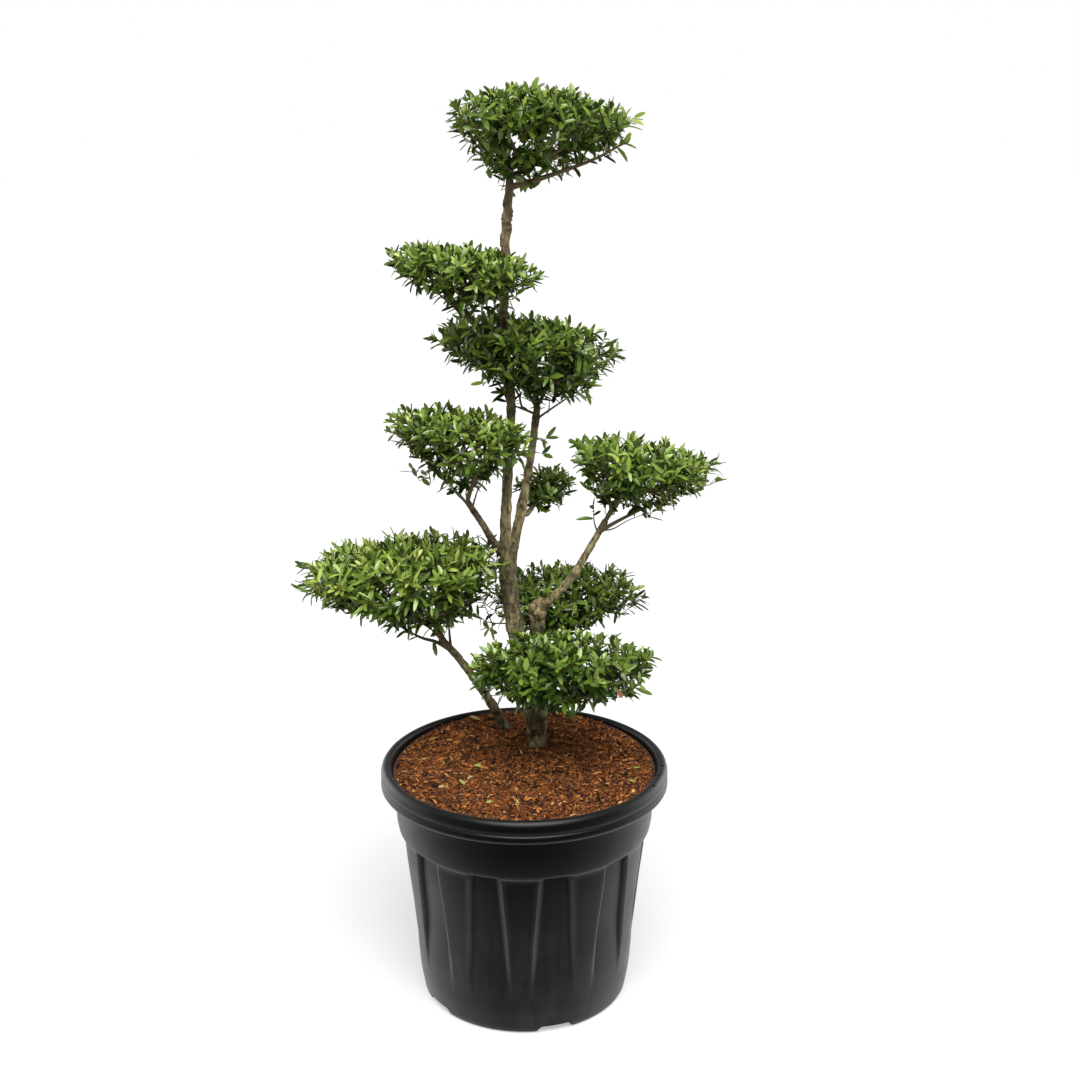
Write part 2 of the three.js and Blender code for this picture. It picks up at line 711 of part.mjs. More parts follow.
// A twig thickens with the number of tips it carries and starts as a thin neck inside its parent
function twigSolid(branch, stemRadius) {
  const radii = branch.map((node) => Math.min(stemRadius, twigRadius(node)));
  radii[0] = TWIG_NECK * Math.min(radii[0], twigRadius(branch[1]));
  const rows = branch.length - 1;
  const stops = radii.map((radius, index) => [index / rows, radius]);
  return solidOf(bentTube(branchLine(branch), (share) => blend(stops, share), TWIG_SIDES, rows));
}

function cloudSolid(cloud) {
  const random = randomFrom(cloud.seed);
  const limb = LIMBS[cloud.bough];
  const stemRadius = limb.girth[limb.girth.length - 1][1] - STEM_STEP;
  const { stem, arms, sprays } = branchesOf(cloud, limbCurve(limb), random);
  const branches = [stem, ...arms, ...sprays];
  const solids = [solidOf(bentTube(branchLine(stem), () => stemRadius, STEM_SIDES, 1))];
  for (const branch of [...arms, ...sprays]) solids.push(twigSolid(branch, stemRadius));

  const taken = branches.flatMap((branch) => branch.slice(1).map((node, index) => ({
    line: new THREE.Line3(branch[index].point, node.point),
    radius: TWIG_TIP_RADIUS,
  })));
  const addLeaf = (foot, axis, turned, sink) => {
    const leaf = placeLeaf(cloud, foot, axis, turned, taken);
    if (leaf) {
      taken.push({ line: leaf.line, radius: LEAF_ROOM });
      solids.push(solidOf(leafGeometry(leaf, sink)));
    }
  };
  const centre = vector(cloud.centre);
  for (const branch of sprays) {
    const turned = random() * 2 * Math.PI;
    for (let index = 0; index < LEAVES_PER_SPRAY; index += 1) {
      const { point, heading: axis } = pointBack(branch, index * LEAF_SPACING);
      const outward = point.clone().sub(centre).setZ(0).normalize();
      axis.addScaledVector(outward, SPRAY_OUTWARD).addScaledVector(UP, SPRAY_UPWARD).normalize();
      addLeaf(point, axis, turned + index * GOLDEN_ANGLE, LEAF_SINK);
    }
  }
  for (let index = 0; index < cloud.crown; index += 1) {
    const ring = Math.sqrt((index + 0.5) / cloud.crown);
    const turn = index * GOLDEN_ANGLE + 3 * cloud.seed;
    const way = new THREE.Vector3(ring * Math.cos(turn), ring * Math.sin(turn), Math.sqrt(1 - ring * ring));
    const foot = centre.clone().lerp(heartPoint(cloud, way), HEART_ROOT);
    const axis = way.clone().addScaledVector(UP, CROWN_UPWARD).normalize();
    addLeaf(foot, axis, random() * 2 * Math.PI, 0);
  }

  solids.push(heartSolid(cloud));
  const whole = wasm.Manifold.union(solids).subtract(limbSolid(cloud.bough, GAP));
  return largestOf(whole).simplify(FINEST_EDGE);
}

// Assembly

const materials = {
  pot: new THREE.MeshStandardMaterial({ color: COLOURS.pot, roughness: 0.42, metalness: 0 }),
  soil: new THREE.MeshStandardMaterial({ color: COLOURS.soil, roughness: 0.95, metalness: 0 }),
  bark: new THREE.MeshStandardMaterial({ color: COLOURS.bark, roughness: 0.85, metalness: 0 }),
  foliage: new THREE.MeshStandardMaterial({ color: COLOURS.foliage, roughness: 0.45, metalness: 0 }),
};

const group = new THREE.Group();

function addNode(name, solid, material) {
  const mesh = new THREE.Mesh(geometryOf(solid), material.clone());
  mesh.name = name;
  group.add(mesh);
}

addNode('pot', pot(), materials.pot);

let soilBody = soil();
for (const name of ['trunk', 'bough_lower_left']) {
  soilBody = soilBody.subtract(withoutBelow(limbSolid(name, GAP), FOOT_HEIGHT - GAP));
}
addNode('soil', largestOf(soilBody), materials.soil);

addNode('trunk', withoutBelow(limbSolid('trunk'), FOOT_HEIGHT), materials.bark);
for (const [name, parents] of Object.entries(PARENTS)) {
  let limb = limbSolid(name);
  for (const parent of parents) limb = limb.subtract(limbSolid(parent, GAP));
  addNode(name, withoutBelow(largestOf(limb), FOOT_HEIGHT), materials.bark);
}

for (const cloud of CLOUDS) addNode(cloud.name, cloudSolid(cloud), materials.foliage);

export default group;
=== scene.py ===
"""Cloud-pruned Japanese holly in a fluted pot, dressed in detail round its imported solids.

Lengths inside the script are in millimetres, like the plant's own sizes, and become metres where a
mesh is made. +Z is up, +X is right and +Y is back, with the origin under the pot on its axis.
"""

import math
from collections import namedtuple

import bmesh
import bpy
import numpy as np
from mathutils import Matrix, Vector, kdtree, noise


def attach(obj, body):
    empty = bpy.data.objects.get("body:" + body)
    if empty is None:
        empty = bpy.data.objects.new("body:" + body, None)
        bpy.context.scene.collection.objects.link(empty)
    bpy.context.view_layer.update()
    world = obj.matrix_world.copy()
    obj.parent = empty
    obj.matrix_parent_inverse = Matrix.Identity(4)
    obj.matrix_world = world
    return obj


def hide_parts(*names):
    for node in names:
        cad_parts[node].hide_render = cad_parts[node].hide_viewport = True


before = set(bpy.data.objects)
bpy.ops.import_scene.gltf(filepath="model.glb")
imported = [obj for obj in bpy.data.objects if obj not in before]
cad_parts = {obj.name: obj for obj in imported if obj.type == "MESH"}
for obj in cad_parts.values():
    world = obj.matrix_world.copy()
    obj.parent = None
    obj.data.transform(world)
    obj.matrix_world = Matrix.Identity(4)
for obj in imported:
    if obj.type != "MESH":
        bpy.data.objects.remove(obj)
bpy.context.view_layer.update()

bl_info = {
    "name": "Potted Japanese Holly",
    "version": (1, 0, 0),
    "blender": (4, 5, 0),
    "location": "View3D > Sidebar > Holly",
    "description": "Builds a cloud-pruned Japanese holly in its fluted pot",
    "category": "Add Mesh",
}

MM = 0.001
UP = np.array([0.0, 0.0, 1.0])
GOLDEN_ANGLE = math.pi * (3 - math.sqrt(5))


# Settings that a user would change


def colour_setting(name, description, default):
    return bpy.props.FloatVectorProperty(
        name=name, description=description, default=default, size=3, min=0, max=1, subtype="COLOR"
    )


def length_setting(name, description, default):
    return bpy.props.FloatProperty(
        name=name, description=description, default=default, min=0, unit="LENGTH", precision=4
    )


class HollyPotSettings(bpy.types.PropertyGroup):
    """Sizes and colours of the pot"""

    height: length_setting("Height", "Height of the rolled rim above the floor", 0.4285)
    rim_radius: length_setting("Rim radius", "Radius of the pot outside its rim", 0.2505)
    flute_depth: length_setting("Flute depth", "How far the recesses are set back", 0.0085)
    flutes: bpy.props.IntProperty(
        name="Flutes", description="Number of raised flutes round the wall", default=11, min=3
    )
    colour: colour_setting("Colour", "Colour of the clean plastic", (0.0012, 0.0014, 0.0015))
    # The dust colour also paints the light from the floor towards the foot
    dust: colour_setting("Dust", "Colour of the dust on the plastic", (0.048, 0.049, 0.043))


class HollySoilSettings(bpy.types.PropertyGroup):
    """Cover of the pot's soil"""

    chips: bpy.props.IntProperty(
        name="Chips", description="Number of bark chips on the soil", default=15000, min=0
    )
    fibres: bpy.props.IntProperty(
        name="Fibres", description="Number of loose fibres on the soil", default=3600, min=0
    )
    colour: colour_setting("Colour", "Colour of the ground between the chips", (0.034, 0.011, 0.004))


class HollyBarkSettings(bpy.types.PropertyGroup):
    """Bark of the trunk, stems and boughs"""

    relief: length_setting("Relief", "Height of the ridges on the thickest bark", 0.0026)
    fineness: length_setting("Fineness", "Edge length of the bark's mesh", 0.0019)
    colour: colour_setting("Colour", "Colour of the clean bark", (0.248, 0.205, 0.102))
    dark: colour_setting("Dark", "Colour of the bark's cracks and old patches", (0.026, 0.019, 0.008))


class HollyLeafSettings(bpy.types.PropertyGroup):
    """Shoots and leaves of the clouds"""

    shoots: bpy.props.FloatProperty(
        name="Shoots", description="Leafy shoots on each square decimetre of a cloud", default=52, min=0
    )
    size: bpy.props.FloatProperty(
        name="Leaf size", description="Leaf size as a share of the usual one", default=0.88, min=0.1
    )
    deep: colour_setting("Deep", "Colour of the old leaves", (0.018, 0.037, 0.004))
    middle: colour_setting("Middle", "Colour of most leaves", (0.069, 0.114, 0.013))
    fresh: colour_setting("Fresh", "Colour of this year's leaves", (0.15, 0.226, 0.032))
    young: colour_setting("Young", "Colour of the youngest leaves", (0.29, 0.36, 0.072))


class HollyStageSettings(bpy.types.PropertyGroup):
    """Floor, light and camera"""

    distance: length_setting("Distance", "Distance of the camera in front of the pot's axis", 2.4277)
    eye_height: length_setting("Eye height", "Height of the camera above the floor", 1.5084)
    tilt: bpy.props.FloatProperty(
        name="Tilt", description="Downward tilt of the camera", default=math.radians(15.67), subtype="ANGLE"
    )
    daylight: bpy.props.FloatProperty(
        name="Daylight", description="Strength of the even light from all round", default=0.25, min=0
    )
    side_panels: bpy.props.FloatProperty(
        name="Side panels",
        description="Power of each light panel beside the pot",
        default=30,
        min=0,
        unit="POWER",
    )
    softbox: bpy.props.FloatProperty(
        name="Softbox", description="Strength of the broad light from above", default=5.9, min=0
    )


def settings(part):
    """The scene's own sizes and colours for one part of the plant."""
    return getattr(bpy.context.scene, "holly_" + part)


# Meshes, pieces and materials


def finished(bm, name):
    """The bmesh as a mesh in metres."""
    bmesh.ops.scale(bm, vec=(MM, MM, MM), verts=bm.verts)
    mesh = bpy.data.meshes.new(name)
    bm.to_mesh(mesh)
    bm.free()
    return mesh


def mesh_of(name, vertices, triangles, tones):
    """A mesh of triangles from arrays in millimetres, with the index of each triangle's material."""
    mesh = bpy.data.meshes.new(name)
    mesh.vertices.add(len(vertices))
    mesh.vertices.foreach_set("co", (np.asarray(vertices) * MM).ravel())
    mesh.loops.add(3 * len(triangles))
    mesh.loops.foreach_set("vertex_index", np.asarray(triangles, np.int32).ravel())
    mesh.polygons.add(len(triangles))
    mesh.polygons.foreach_set("loop_start", np.arange(0, 3 * len(triangles), 3, dtype=np.int32))
    mesh.polygons.foreach_set("material_index", np.asarray(tones, np.int32))
    mesh.update(calc_edges=True)
    return mesh


def piece_of(name, mesh, materials, nodes=()):
    """Places a finished mesh as a piece of the plant, standing for the given solids."""
    for material in materials:
        mesh.materials.append(material)
    piece = bpy.data.objects.new(name, mesh)
    bpy.context.scene.collection.objects.link(piece)
    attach(piece, "root")
    if nodes:
        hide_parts(*nodes)
    return piece


def spun(bm, profile, columns):
    """Spins a half section of (radius, height) round the upright axis."""
    line = [bm.verts.new((0, -radius, height)) for radius, height in profile]
    edges = [bm.edges.new(pair) for pair in zip(line, line[1:])]
    bmesh.ops.spin(
        bm,
        geom=line + edges,
        cent=(0, 0, 0),
        axis=(0, 0, 1),
        angle=2 * math.pi,
        steps=columns,
        use_merge=True,
    )
    bmesh.ops.remove_doubles(bm, verts=bm.verts, dist=0.001)


def applied(piece):
    """Replaces the piece's mesh by the one its modifiers make."""
    depsgraph = bpy.context.evaluated_depsgraph_get()
    mesh = bpy.data.meshes.new_from_object(piece.evaluated_get(depsgraph))
    piece.modifiers.clear()
    piece.data = mesh
    return mesh


def smooth(mesh, angle):
    """Shades a mesh smoothly, apart from edges that bend by more than the angle in degrees."""
    mesh.polygons.foreach_set("use_smooth", np.ones(len(mesh.polygons), bool))
    mesh.set_sharp_from_angle(angle=math.radians(angle))


def add_node(tree, kind, inputs=None, **values):
    """A node with its own settings, and its inputs linked to sockets or given plain values."""
    made = tree.nodes.new(kind)
    for key, value in values.items():
        setattr(made, key, value)
    for key, value in (inputs or {}).items():
        if isinstance(value, bpy.types.NodeSocket):
            tree.links.new(value, made.inputs[key])
        else:
            made.inputs[key].default_value = value
    return made


def worked(tree, operation, *values):
    """The result of a Math node for sockets or plain numbers."""
    return add_node(tree, "ShaderNodeMath", dict(enumerate(values)), operation=operation).outputs[0]


def ranged(tree, value, start, end, low=0.0, high=1.0):
    """A value that runs from low to high while the given one runs from start to end."""
    limits = {"Value": value, "From Min": start, "From Max": end, "To Min": low, "To Max": high}
    return add_node(tree, "ShaderNodeMapRange", limits).outputs[0]


def attribute(tree, name):
    """The value that a mesh holds under a name at each of its points."""
    return add_node(tree, "ShaderNodeAttribute", attribute_name=name).outputs["Fac"]


def effect(tree, group, place, **values):
    """The outputs of a shared effect at a place, with its own values."""
    return add_node(tree, "ShaderNodeGroup", {"Vector": place, **values}, node_tree=group).outputs


def new_group(name, inputs, outputs):
    """An empty node group with named values going in and coming out."""
    group = bpy.data.node_groups.new(name, "ShaderNodeTree")
    for label, kind, default in inputs:
        socket = group.interface.new_socket(label, in_out="INPUT", socket_type=kind)
        socket.default_value = default
    for label, kind in outputs:
        group.interface.new_socket(label, in_out="OUTPUT", socket_type=kind)
    return group, group.nodes.new("NodeGroupInput").outputs, group.nodes.new("NodeGroupOutput").inputs


def grain_group():
    """Fine grain: a tone and a height, stretched along one axis for bark and fibres."""
    name = "holly_grain"
    if name in bpy.data.node_groups:
        return bpy.data.node_groups[name]
    group, given, out = new_group(
        name,
        [
            ("Vector", "NodeSocketVector", (0, 0, 0)),
            ("Stretch", "NodeSocketVector", (1, 1, 1)),
            ("Scale", "NodeSocketFloat", 400.0),
            ("Detail", "NodeSocketFloat", 4.0),
        ],
        [("Tone", "NodeSocketFloat"), ("Height", "NodeSocketFloat")],
    )
    place = add_node(group, "ShaderNodeMapping", {"Vector": given["Vector"], "Scale": given["Stretch"]})
    fine = add_node(
        group,
        "ShaderNodeTexNoise",
        {"Vector": place.outputs[0], "Scale": given["Scale"], "Detail": given["Detail"]},
    )
    group.links.new(fine.outputs[0], out["Height"])
    ramp = add_node(
        group,
        "ShaderNodeMapRange",
        {"Value": fine.outputs[0], "From Min": 0.32, "From Max": 0.68},
        interpolation_type="SMOOTHSTEP",
    )
    group.links.new(ramp.outputs[0], out["Tone"])
    return group


def patch_group():
    """Broad, soft-edged patches, as dust, moss or damp leave them."""
    name = "holly_patches"
    if name in bpy.data.node_groups:
        return bpy.data.node_groups[name]
    group, given, out = new_group(
        name,
        [
            ("Vector", "NodeSocketVector", (0, 0, 0)),
            ("Scale", "NodeSocketFloat", 12.0),
            ("Start", "NodeSocketFloat", 0.5),
            ("Softness", "NodeSocketFloat", 0.2),
        ],
        [("Mask", "NodeSocketFloat")],
    )
    broad = add_node(
        group,
        "ShaderNodeTexNoise",
        {"Vector": given["Vector"], "Scale": given["Scale"], "Detail": 5.0, "Roughness": 0.62},
    )
    end = add_node(group, "ShaderNodeMath", {0: given["Start"], 1: given["Softness"]}, operation="ADD")
    ramp = add_node(
        group,
        "ShaderNodeMapRange",
        {"Value": broad.outputs[0], "From Min": given["Start"], "From Max": end.outputs[0]},
        interpolation_type="SMOOTHSTEP",
    )
    group.links.new(ramp.outputs[0], out["Mask"])
    return group


def new_material(name, roughness, coat=0.0):
    """A material with a Principled shader; returns it with its tree, shader and object coordinates."""
    material = bpy.data.materials.new(name)
    material.use_nodes = True
    tree = material.node_tree
    shader = tree.nodes["Principled BSDF"]
    shader.inputs["Roughness"].default_value = roughness
    shader.inputs["Coat Weight"].default_value = coat
    coordinates = tree.nodes.new("ShaderNodeTexCoord").outputs["Object"]
    return material, tree, shader, coordinates


def plain_material(name, colour, roughness, coat=0.0, specular=0.5, tint=(1, 1, 1)):
    """One even colour, for the small things that are dealt their colours one by one."""
    material = bpy.data.materials.new(name)
    material.use_nodes = True
    shader = material.node_tree.nodes["Principled BSDF"]
    shader.inputs["Base Color"].default_value = (*colour, 1)
    shader.inputs["Roughness"].default_value = roughness
    shader.inputs["Coat Weight"].default_value = coat
    shader.inputs["Coat Roughness"].default_value = 0.2
    shader.inputs["Specular IOR Level"].default_value = specular
    shader.inputs["Specular Tint"].default_value = (*tint, 1)
    material.diffuse_color = (*colour, 1)
    return material


def mix_colour(tree, mask, first, second):
    """The first colour where the mask is 0 and the second where it is 1."""
    mixed = add_node(tree, "ShaderNodeMix", data_type="RGBA")
    for index, value in ((0, mask), (6, first), (7, second)):
        if isinstance(value, bpy.types.NodeSocket):
            tree.links.new(value, mixed.inputs[index])
        else:
            mixed.inputs[index].default_value = value if index == 0 else (*value, 1)
    return mixed.outputs[2]


def times(colour, factor):
    """A colour made lighter or darker, no lighter than white."""
    return [min(1, value * factor) for value in colour]


def add_bump(tree, shader, height, strength, distance):
    """Lets a height tilt the surface's normal, over a distance in metres."""
    bump = add_node(tree, "ShaderNodeBump", {"Height": height, "Strength": strength, "Distance": distance})
    tree.links.new(bump.outputs[0], shader.inputs["Normal"])


# Pot


STANDING_RADIUS = 172
FLOOR_THICKNESS = 16
LIP_BOTTOM = 390
SHOULDER = 306
FLUTE_TURN = -1.4
FLUTE_WIDTHS = (6.6, 17.7)
FLUTE_FLANK = 1.7
FLUTE_ROUNDING = 0.5
FLUTE_FADE = (55, 190)
FLUTE_EDGE_LEAD = 0.6
# How far above the shoulder the flutes have run out
NECK_FADE = 8
# Wear and painted highlight lines on the flutes' edges by the column's number from the middle of its flute
RIDGE_WEAR_AND_HIGHLIGHT = {3: 0.2, 4: 0.5, 5: 0.85, 6: 0.5, 7: 0.2}
# Wear and painted highlight lines on the ring above the shoulder and on the lip's lower edge, with the band
# above each that has it
SHOULDER_WEAR_AND_HIGHLIGHT = 0.7
SHOULDER_BAND = (1.5, 5)
LIP_WEAR_AND_HIGHLIGHT = 0.4
LIP_BAND = 3.2
# Gouges in the rim as (x, y, turn in degrees), with their size and their lean in radians
GOUGES = ((241, -26, 20), (229, -68, 75), (219, -107, 50))
GOUGE_SIZE = (9, 2.6, 5)
GOUGE_LEAN = 0.35
HALF_FLUTE_COLUMNS = 12
WALL_ROWS = 34
# Radius of the outer wall at heights above the floor, as (height, radius)
WALL_RADII = ((5, 182), (18, 184.4), (44, 188.6), (68, 190.7), (93, 193.8), (117, 196.2), (141, 198.6),
              (165, 200.8), (189, 203), (214, 205.6), (250, 209.6), (273, 212), (306, 214.2))
# Inner wall from the pot's floor up, as (radius, height)
INNER_WALL = ((177.5, FLOOR_THICKNESS), (202, 304), (218.5, 329), (222.5, 388))
NOTCHES = 5
NOTCH_TURN = 17
NOTCH_WIDTH = 70
NOTCH_HEIGHT = 12.5
NOTCH_DEPTH = 28
NOTCH_TAPER = 0.7
NOTCH_RADIUS = 183
NOTCH_BEVEL = 2


def pot_profile(height, rim):
    """Half section as (radius, height), from under the foot round the rim to the floor inside."""
    foot = [(0, 0), (STANDING_RADIUS - 12, 0), (STANDING_RADIUS, 0), (177.4, 0.9), (180.6, 2.7)]
    levels = np.linspace(WALL_RADII[0][0], SHOULDER, WALL_ROWS)
    wall = [(float(np.interp(z, *zip(*WALL_RADII))), float(z)) for z in levels]
    neck = [(215.6, 308.4), (218.4, 310), (220.4, 312), (221.6, 315), (222.4, 319), (224.6, 331),
            (225.6, 358), (226, 384), (226.5, 388), (228.4, LIP_BOTTOM)]
    lip = [(-5, -38.4), (-1.6, -37.9), (0, -36.1), (0.5, -32.5), (0.2, -28), (-0.9, -25.7), (-2.4, -24.4),
           (-2.1, -22.9), (-0.7, -21), (0, -17), (-0.2, -11.5), (-1.5, -6.6), (-4.1, -2.9), (-7.6, -0.6),
           (-11, 0), (-14.4, -0.9), (-16.8, -3.2), (-18, -6.6), (-18.2, -11)]
    inside = [(229.6, 408), (224.4, 396), *reversed(INNER_WALL), (0, FLOOR_THICKNESS)]
    return foot + wall + neck + [(rim + out, height + level) for out, level in lip] + inside


def flute_offsets(half_width, half_module):
    """Angles of a half flute's columns from its middle, close together at its rounded edges."""
    flat = half_width - 2 * FLUTE_ROUNDING
    low = half_width + FLUTE_FLANK
    hollow = low + 2 * FLUTE_ROUNDING
    return [0, 0.4 * flat, 0.75 * flat, flat, half_width - FLUTE_ROUNDING, half_width,
            half_width + FLUTE_FLANK / 3, half_width + FLUTE_FLANK * 2 / 3, low, low + FLUTE_ROUNDING, hollow,
            (hollow + half_module) / 2, half_module]


def smoothstep(value):
    """A soft step from 0 to 1 over the values from 0 to 1."""
    value = min(1.0, max(0.0, value))
    return value * value * (3 - 2 * value)


def flute_wall(bm, flutes, depth):
    """Moves the even columns of the spun wall to the edges of the flutes and sets the recesses back."""
    half_module = 180 / flutes
    column_angle = half_module / HALF_FLUTE_COLUMNS
    # The ridge value marks scuffed edges, where lighter plastic is also a painted highlight line
    ridge = bm.verts.layers.float.new("ridge")
    inner = [(z, r) for r, z in (*INNER_WALL, (232.5, 423))]
    for vertex in bm.verts:
        x, y, z = vertex.co
        radius = math.hypot(x, y)
        if radius < 1:
            continue
        outer = radius > np.interp(z, *zip(*inner)) + 1 and radius > STANDING_RADIUS + 1
        even = math.degrees(math.atan2(x, -y))
        turn = even + FLUTE_TURN
        share = (z - FLUTE_FADE[0]) / (FLUTE_FADE[1] - FLUTE_FADE[0])
        if outer and z < LIP_BOTTOM:
            column = round(even / column_angle)
            nearest = round(column / (2 * HALF_FLUTE_COLUMNS))
            step = column - nearest * 2 * HALF_FLUTE_COLUMNS
            width = np.interp(z, (0, SHOULDER), FLUTE_WIDTHS)
            offset = flute_offsets(width / 2, half_module)[abs(step)]
            settled = min(1.0, max(0.0, share + FLUTE_EDGE_LEAD))
            fluted = 2 * nearest * half_module + math.copysign(offset, step)
            turn = FLUTE_TURN + even + (fluted - even) * settled
            edge = (offset - width / 2 + FLUTE_ROUNDING) / (FLUTE_FLANK + 2 * FLUTE_ROUNDING)
            under_neck = 1 - smoothstep((z - SHOULDER) / NECK_FADE)
            radius -= depth * smoothstep(edge) * smoothstep(share) * under_neck
            wear_and_highlight = RIDGE_WEAR_AND_HIGHLIGHT.get(abs(step), 0) * smoothstep(share)
            on_ring = SHOULDER + SHOULDER_BAND[0] < z < SHOULDER + SHOULDER_BAND[1]
            vertex[ridge] = max(wear_and_highlight * (z < SHOULDER), SHOULDER_WEAR_AND_HIGHLIGHT * on_ring)
        if outer and LIP_BOTTOM < z < LIP_BOTTOM + LIP_BAND:
            vertex[ridge] = LIP_WEAR_AND_HIGHLIGHT
        angle = math.radians(turn)
        vertex.co = (radius * math.sin(angle), -radius * math.cos(angle), z)


def notch_cutter(rim_height):
    """Tapered blocks that cut the drainage notches out of the foot, and small ones for the rim's gouges."""
    bm = bmesh.new()
    for index in range(NOTCHES):
        block = bmesh.ops.create_cube(bm, size=1)["verts"]
        for vertex in block:
            taper = NOTCH_TAPER if vertex.co.z > 0 else 2 - NOTCH_TAPER
            vertex.co.x *= NOTCH_WIDTH * taper
            vertex.co.y = vertex.co.y * 2 * NOTCH_DEPTH - NOTCH_RADIUS
            vertex.co.z *= 2 * NOTCH_HEIGHT
        turn = Matrix.Rotation(math.radians(NOTCH_TURN + index * 360 / NOTCHES), 3, "Z")
        bmesh.ops.rotate(bm, verts=block, matrix=turn)
        upper = [edge for vertex in block for edge in vertex.link_edges if vertex.co.z > 0]
        side_edges = [edge for edge in set(upper) if edge.verts[0].co.z * edge.verts[1].co.z > 0]
        bmesh.ops.bevel(
            bm, geom=side_edges, offset=NOTCH_BEVEL, segments=2, profile=0.5, affect="EDGES", material=-1
        )
    for x, y, turn in GOUGES:
        place = Matrix.Translation((x, y, rim_height)) @ Matrix.Rotation(math.radians(turn), 4, "Z")
        size = Matrix.Rotation(GOUGE_LEAN, 4, "Y") @ Matrix.Diagonal((*GOUGE_SIZE, 1))
        bmesh.ops.create_cube(bm, size=1, matrix=place @ size)
    bmesh.ops.recalc_face_normals(bm, faces=bm.faces)
    cutter = bpy.data.objects.new("notch_cutter", finished(bm, "notch_cutter"))
    bpy.context.scene.collection.objects.link(cutter)
    return cutter


def pot_material(pot):
    """Black plastic with dust on what faces up, lighter towards the foot with dust and painted light from the
    floor, and scuffed flute edges that also carry painted highlight lines.
    """
    material, tree, shader, place = new_material("pot_plastic", 0.4)
    normal = tree.nodes.new("ShaderNodeNewGeometry").outputs["Normal"]
    facing = add_node(tree, "ShaderNodeSeparateXYZ", {0: normal}).outputs["Z"]
    height = add_node(tree, "ShaderNodeSeparateXYZ", {0: place}).outputs["Z"]
    broad = effect(tree, patch_group(), place, Scale=9, Start=0.42, Softness=0.3)
    streaks = effect(tree, grain_group(), place, Stretch=(1, 1, 0.12), Scale=70)
    fine = effect(tree, grain_group(), place, Scale=900)
    # Lighter towards the foot: dust, and painted light thrown up from the floor
    low = ranged(tree, height, 0.3, 0.0)
    settled = ranged(tree, facing, 0.1, 1)
    dust_and_light_at_foot = worked(tree, "MULTIPLY_ADD", low, 0.42, 0.008)
    amount = worked(tree, "MULTIPLY_ADD", settled, 0.1, dust_and_light_at_foot)
    patchy = worked(tree, "MULTIPLY_ADD", broad["Mask"], 0.6, 0.4)
    streaky = worked(tree, "MULTIPLY_ADD", streaks["Tone"], 0.5, 0.6)
    dust_and_floor_light = worked(tree, "MULTIPLY", worked(tree, "MULTIPLY", amount, patchy), streaky)
    # Lighter plastic on the flutes' edges, the shoulder ring and the lip: scuffs and painted highlight lines
    wear_and_highlight = attribute(tree, "ridge")
    rubbed_and_highlit = worked(tree, "MULTIPLY", wear_and_highlight, patchy)
    clean = mix_colour(tree, rubbed_and_highlit, pot.colour, times(pot.colour, 13))
    colour = mix_colour(tree, dust_and_floor_light, clean, pot.dust)
    tree.links.new(colour, shader.inputs["Base Color"])
    grazing = add_node(tree, "ShaderNodeLayerWeight", {"Blend": 0.5}).outputs["Facing"]
    sheen = worked(tree, "MULTIPLY_ADD", worked(tree, "POWER", grazing, 1.6), 0.95, 0.01)
    gloss = worked(tree, "MULTIPLY_ADD", wear_and_highlight, 0.28, sheen)
    tree.links.new(gloss, shader.inputs["Specular IOR Level"])
    tree.links.new(worked(tree, "MULTIPLY", settled, 0.5), shader.inputs["Coat Weight"])
    shader.inputs["Coat Roughness"].default_value = 0.34
    tree.links.new(ranged(tree, patchy, 0, 1, 0.33, 0.5), shader.inputs["Roughness"])
    add_bump(tree, shader, fine["Height"], 0.12, 0.0006)
    return material


def build_pot():
    pot = settings("pot")
    bm = bmesh.new()
    profile = pot_profile(pot.height / MM, pot.rim_radius / MM)
    spun(bm, profile, 2 * HALF_FLUTE_COLUMNS * pot.flutes)
    flute_wall(bm, pot.flutes, pot.flute_depth / MM)
    bmesh.ops.recalc_face_normals(bm, faces=bm.faces)
    piece = piece_of("pot_shell", finished(bm, "pot_shell"), [pot_material(pot)], ["pot"])
    cutter = notch_cutter(pot.height / MM)
    cut = piece.modifiers.new("notches", "BOOLEAN")
    cut.operation = "DIFFERENCE"
    cut.solver = "EXACT"
    cut.object = cutter
    smooth(applied(piece), 38)
    bpy.data.objects.remove(cutter)


# Soil


SOIL_AT_WALL = 414
SOIL_AT_CENTRE = 439
SOIL_BACK_RISE = 13
SOIL_BACK_TURN = 178
SOIL_LUMP = 2.2
SOIL_RADIUS = 229.4
SOIL_FLOOR = 398
# How much narrower the soil is at its floor, and the strip along the wall where its crumbs die out
SOIL_TAPER = 7
CALM_STRIP = 12
SOIL_RINGS = 76
SOIL_COLUMNS = 300
# How far the ground and the chips on it are set below the soil's own height
SOIL_SINK = 0.8
# Sizes of crumbs and hollows in the ground as (width, height)
CRUMBS = ((14, 3), (5, 1.6))
CHIP_LENGTH = 4.7
CHIP_SPREAD = 0.5
CHIP_LIMITS = (1.6, 12)
CHIP_SLIMNESS = (0.14, 0.46)
CHIP_THICKNESS = 0.16
CHIP_THICKNESS_LIMITS = (0.45, 1.3)
CHIP_TILT = 0.5
CHIP_LIFTS = (-0.2, 1.1)
# A chip keeps this share of its length away from the wall
CHIP_MARGIN = 0.9
FIBRE_LENGTHS = (7, 20)
FIBRE_RADII = (0.22, 0.5)
FIBRE_TILT = 0.16
FIBRE_MARGIN = 12
FIBRE_LIFT = 1.2
CHIP_TONES = (
    (0.010, 0.004, 0.002),
    (0.046, 0.015, 0.004),
    (0.132, 0.040, 0.009),
    (0.245, 0.079, 0.018),
    (0.385, 0.147, 0.037),
    (0.56, 0.30, 0.11),
)
CHIP_SHARES = (0.17, 0.2, 0.24, 0.23, 0.13, 0.03)
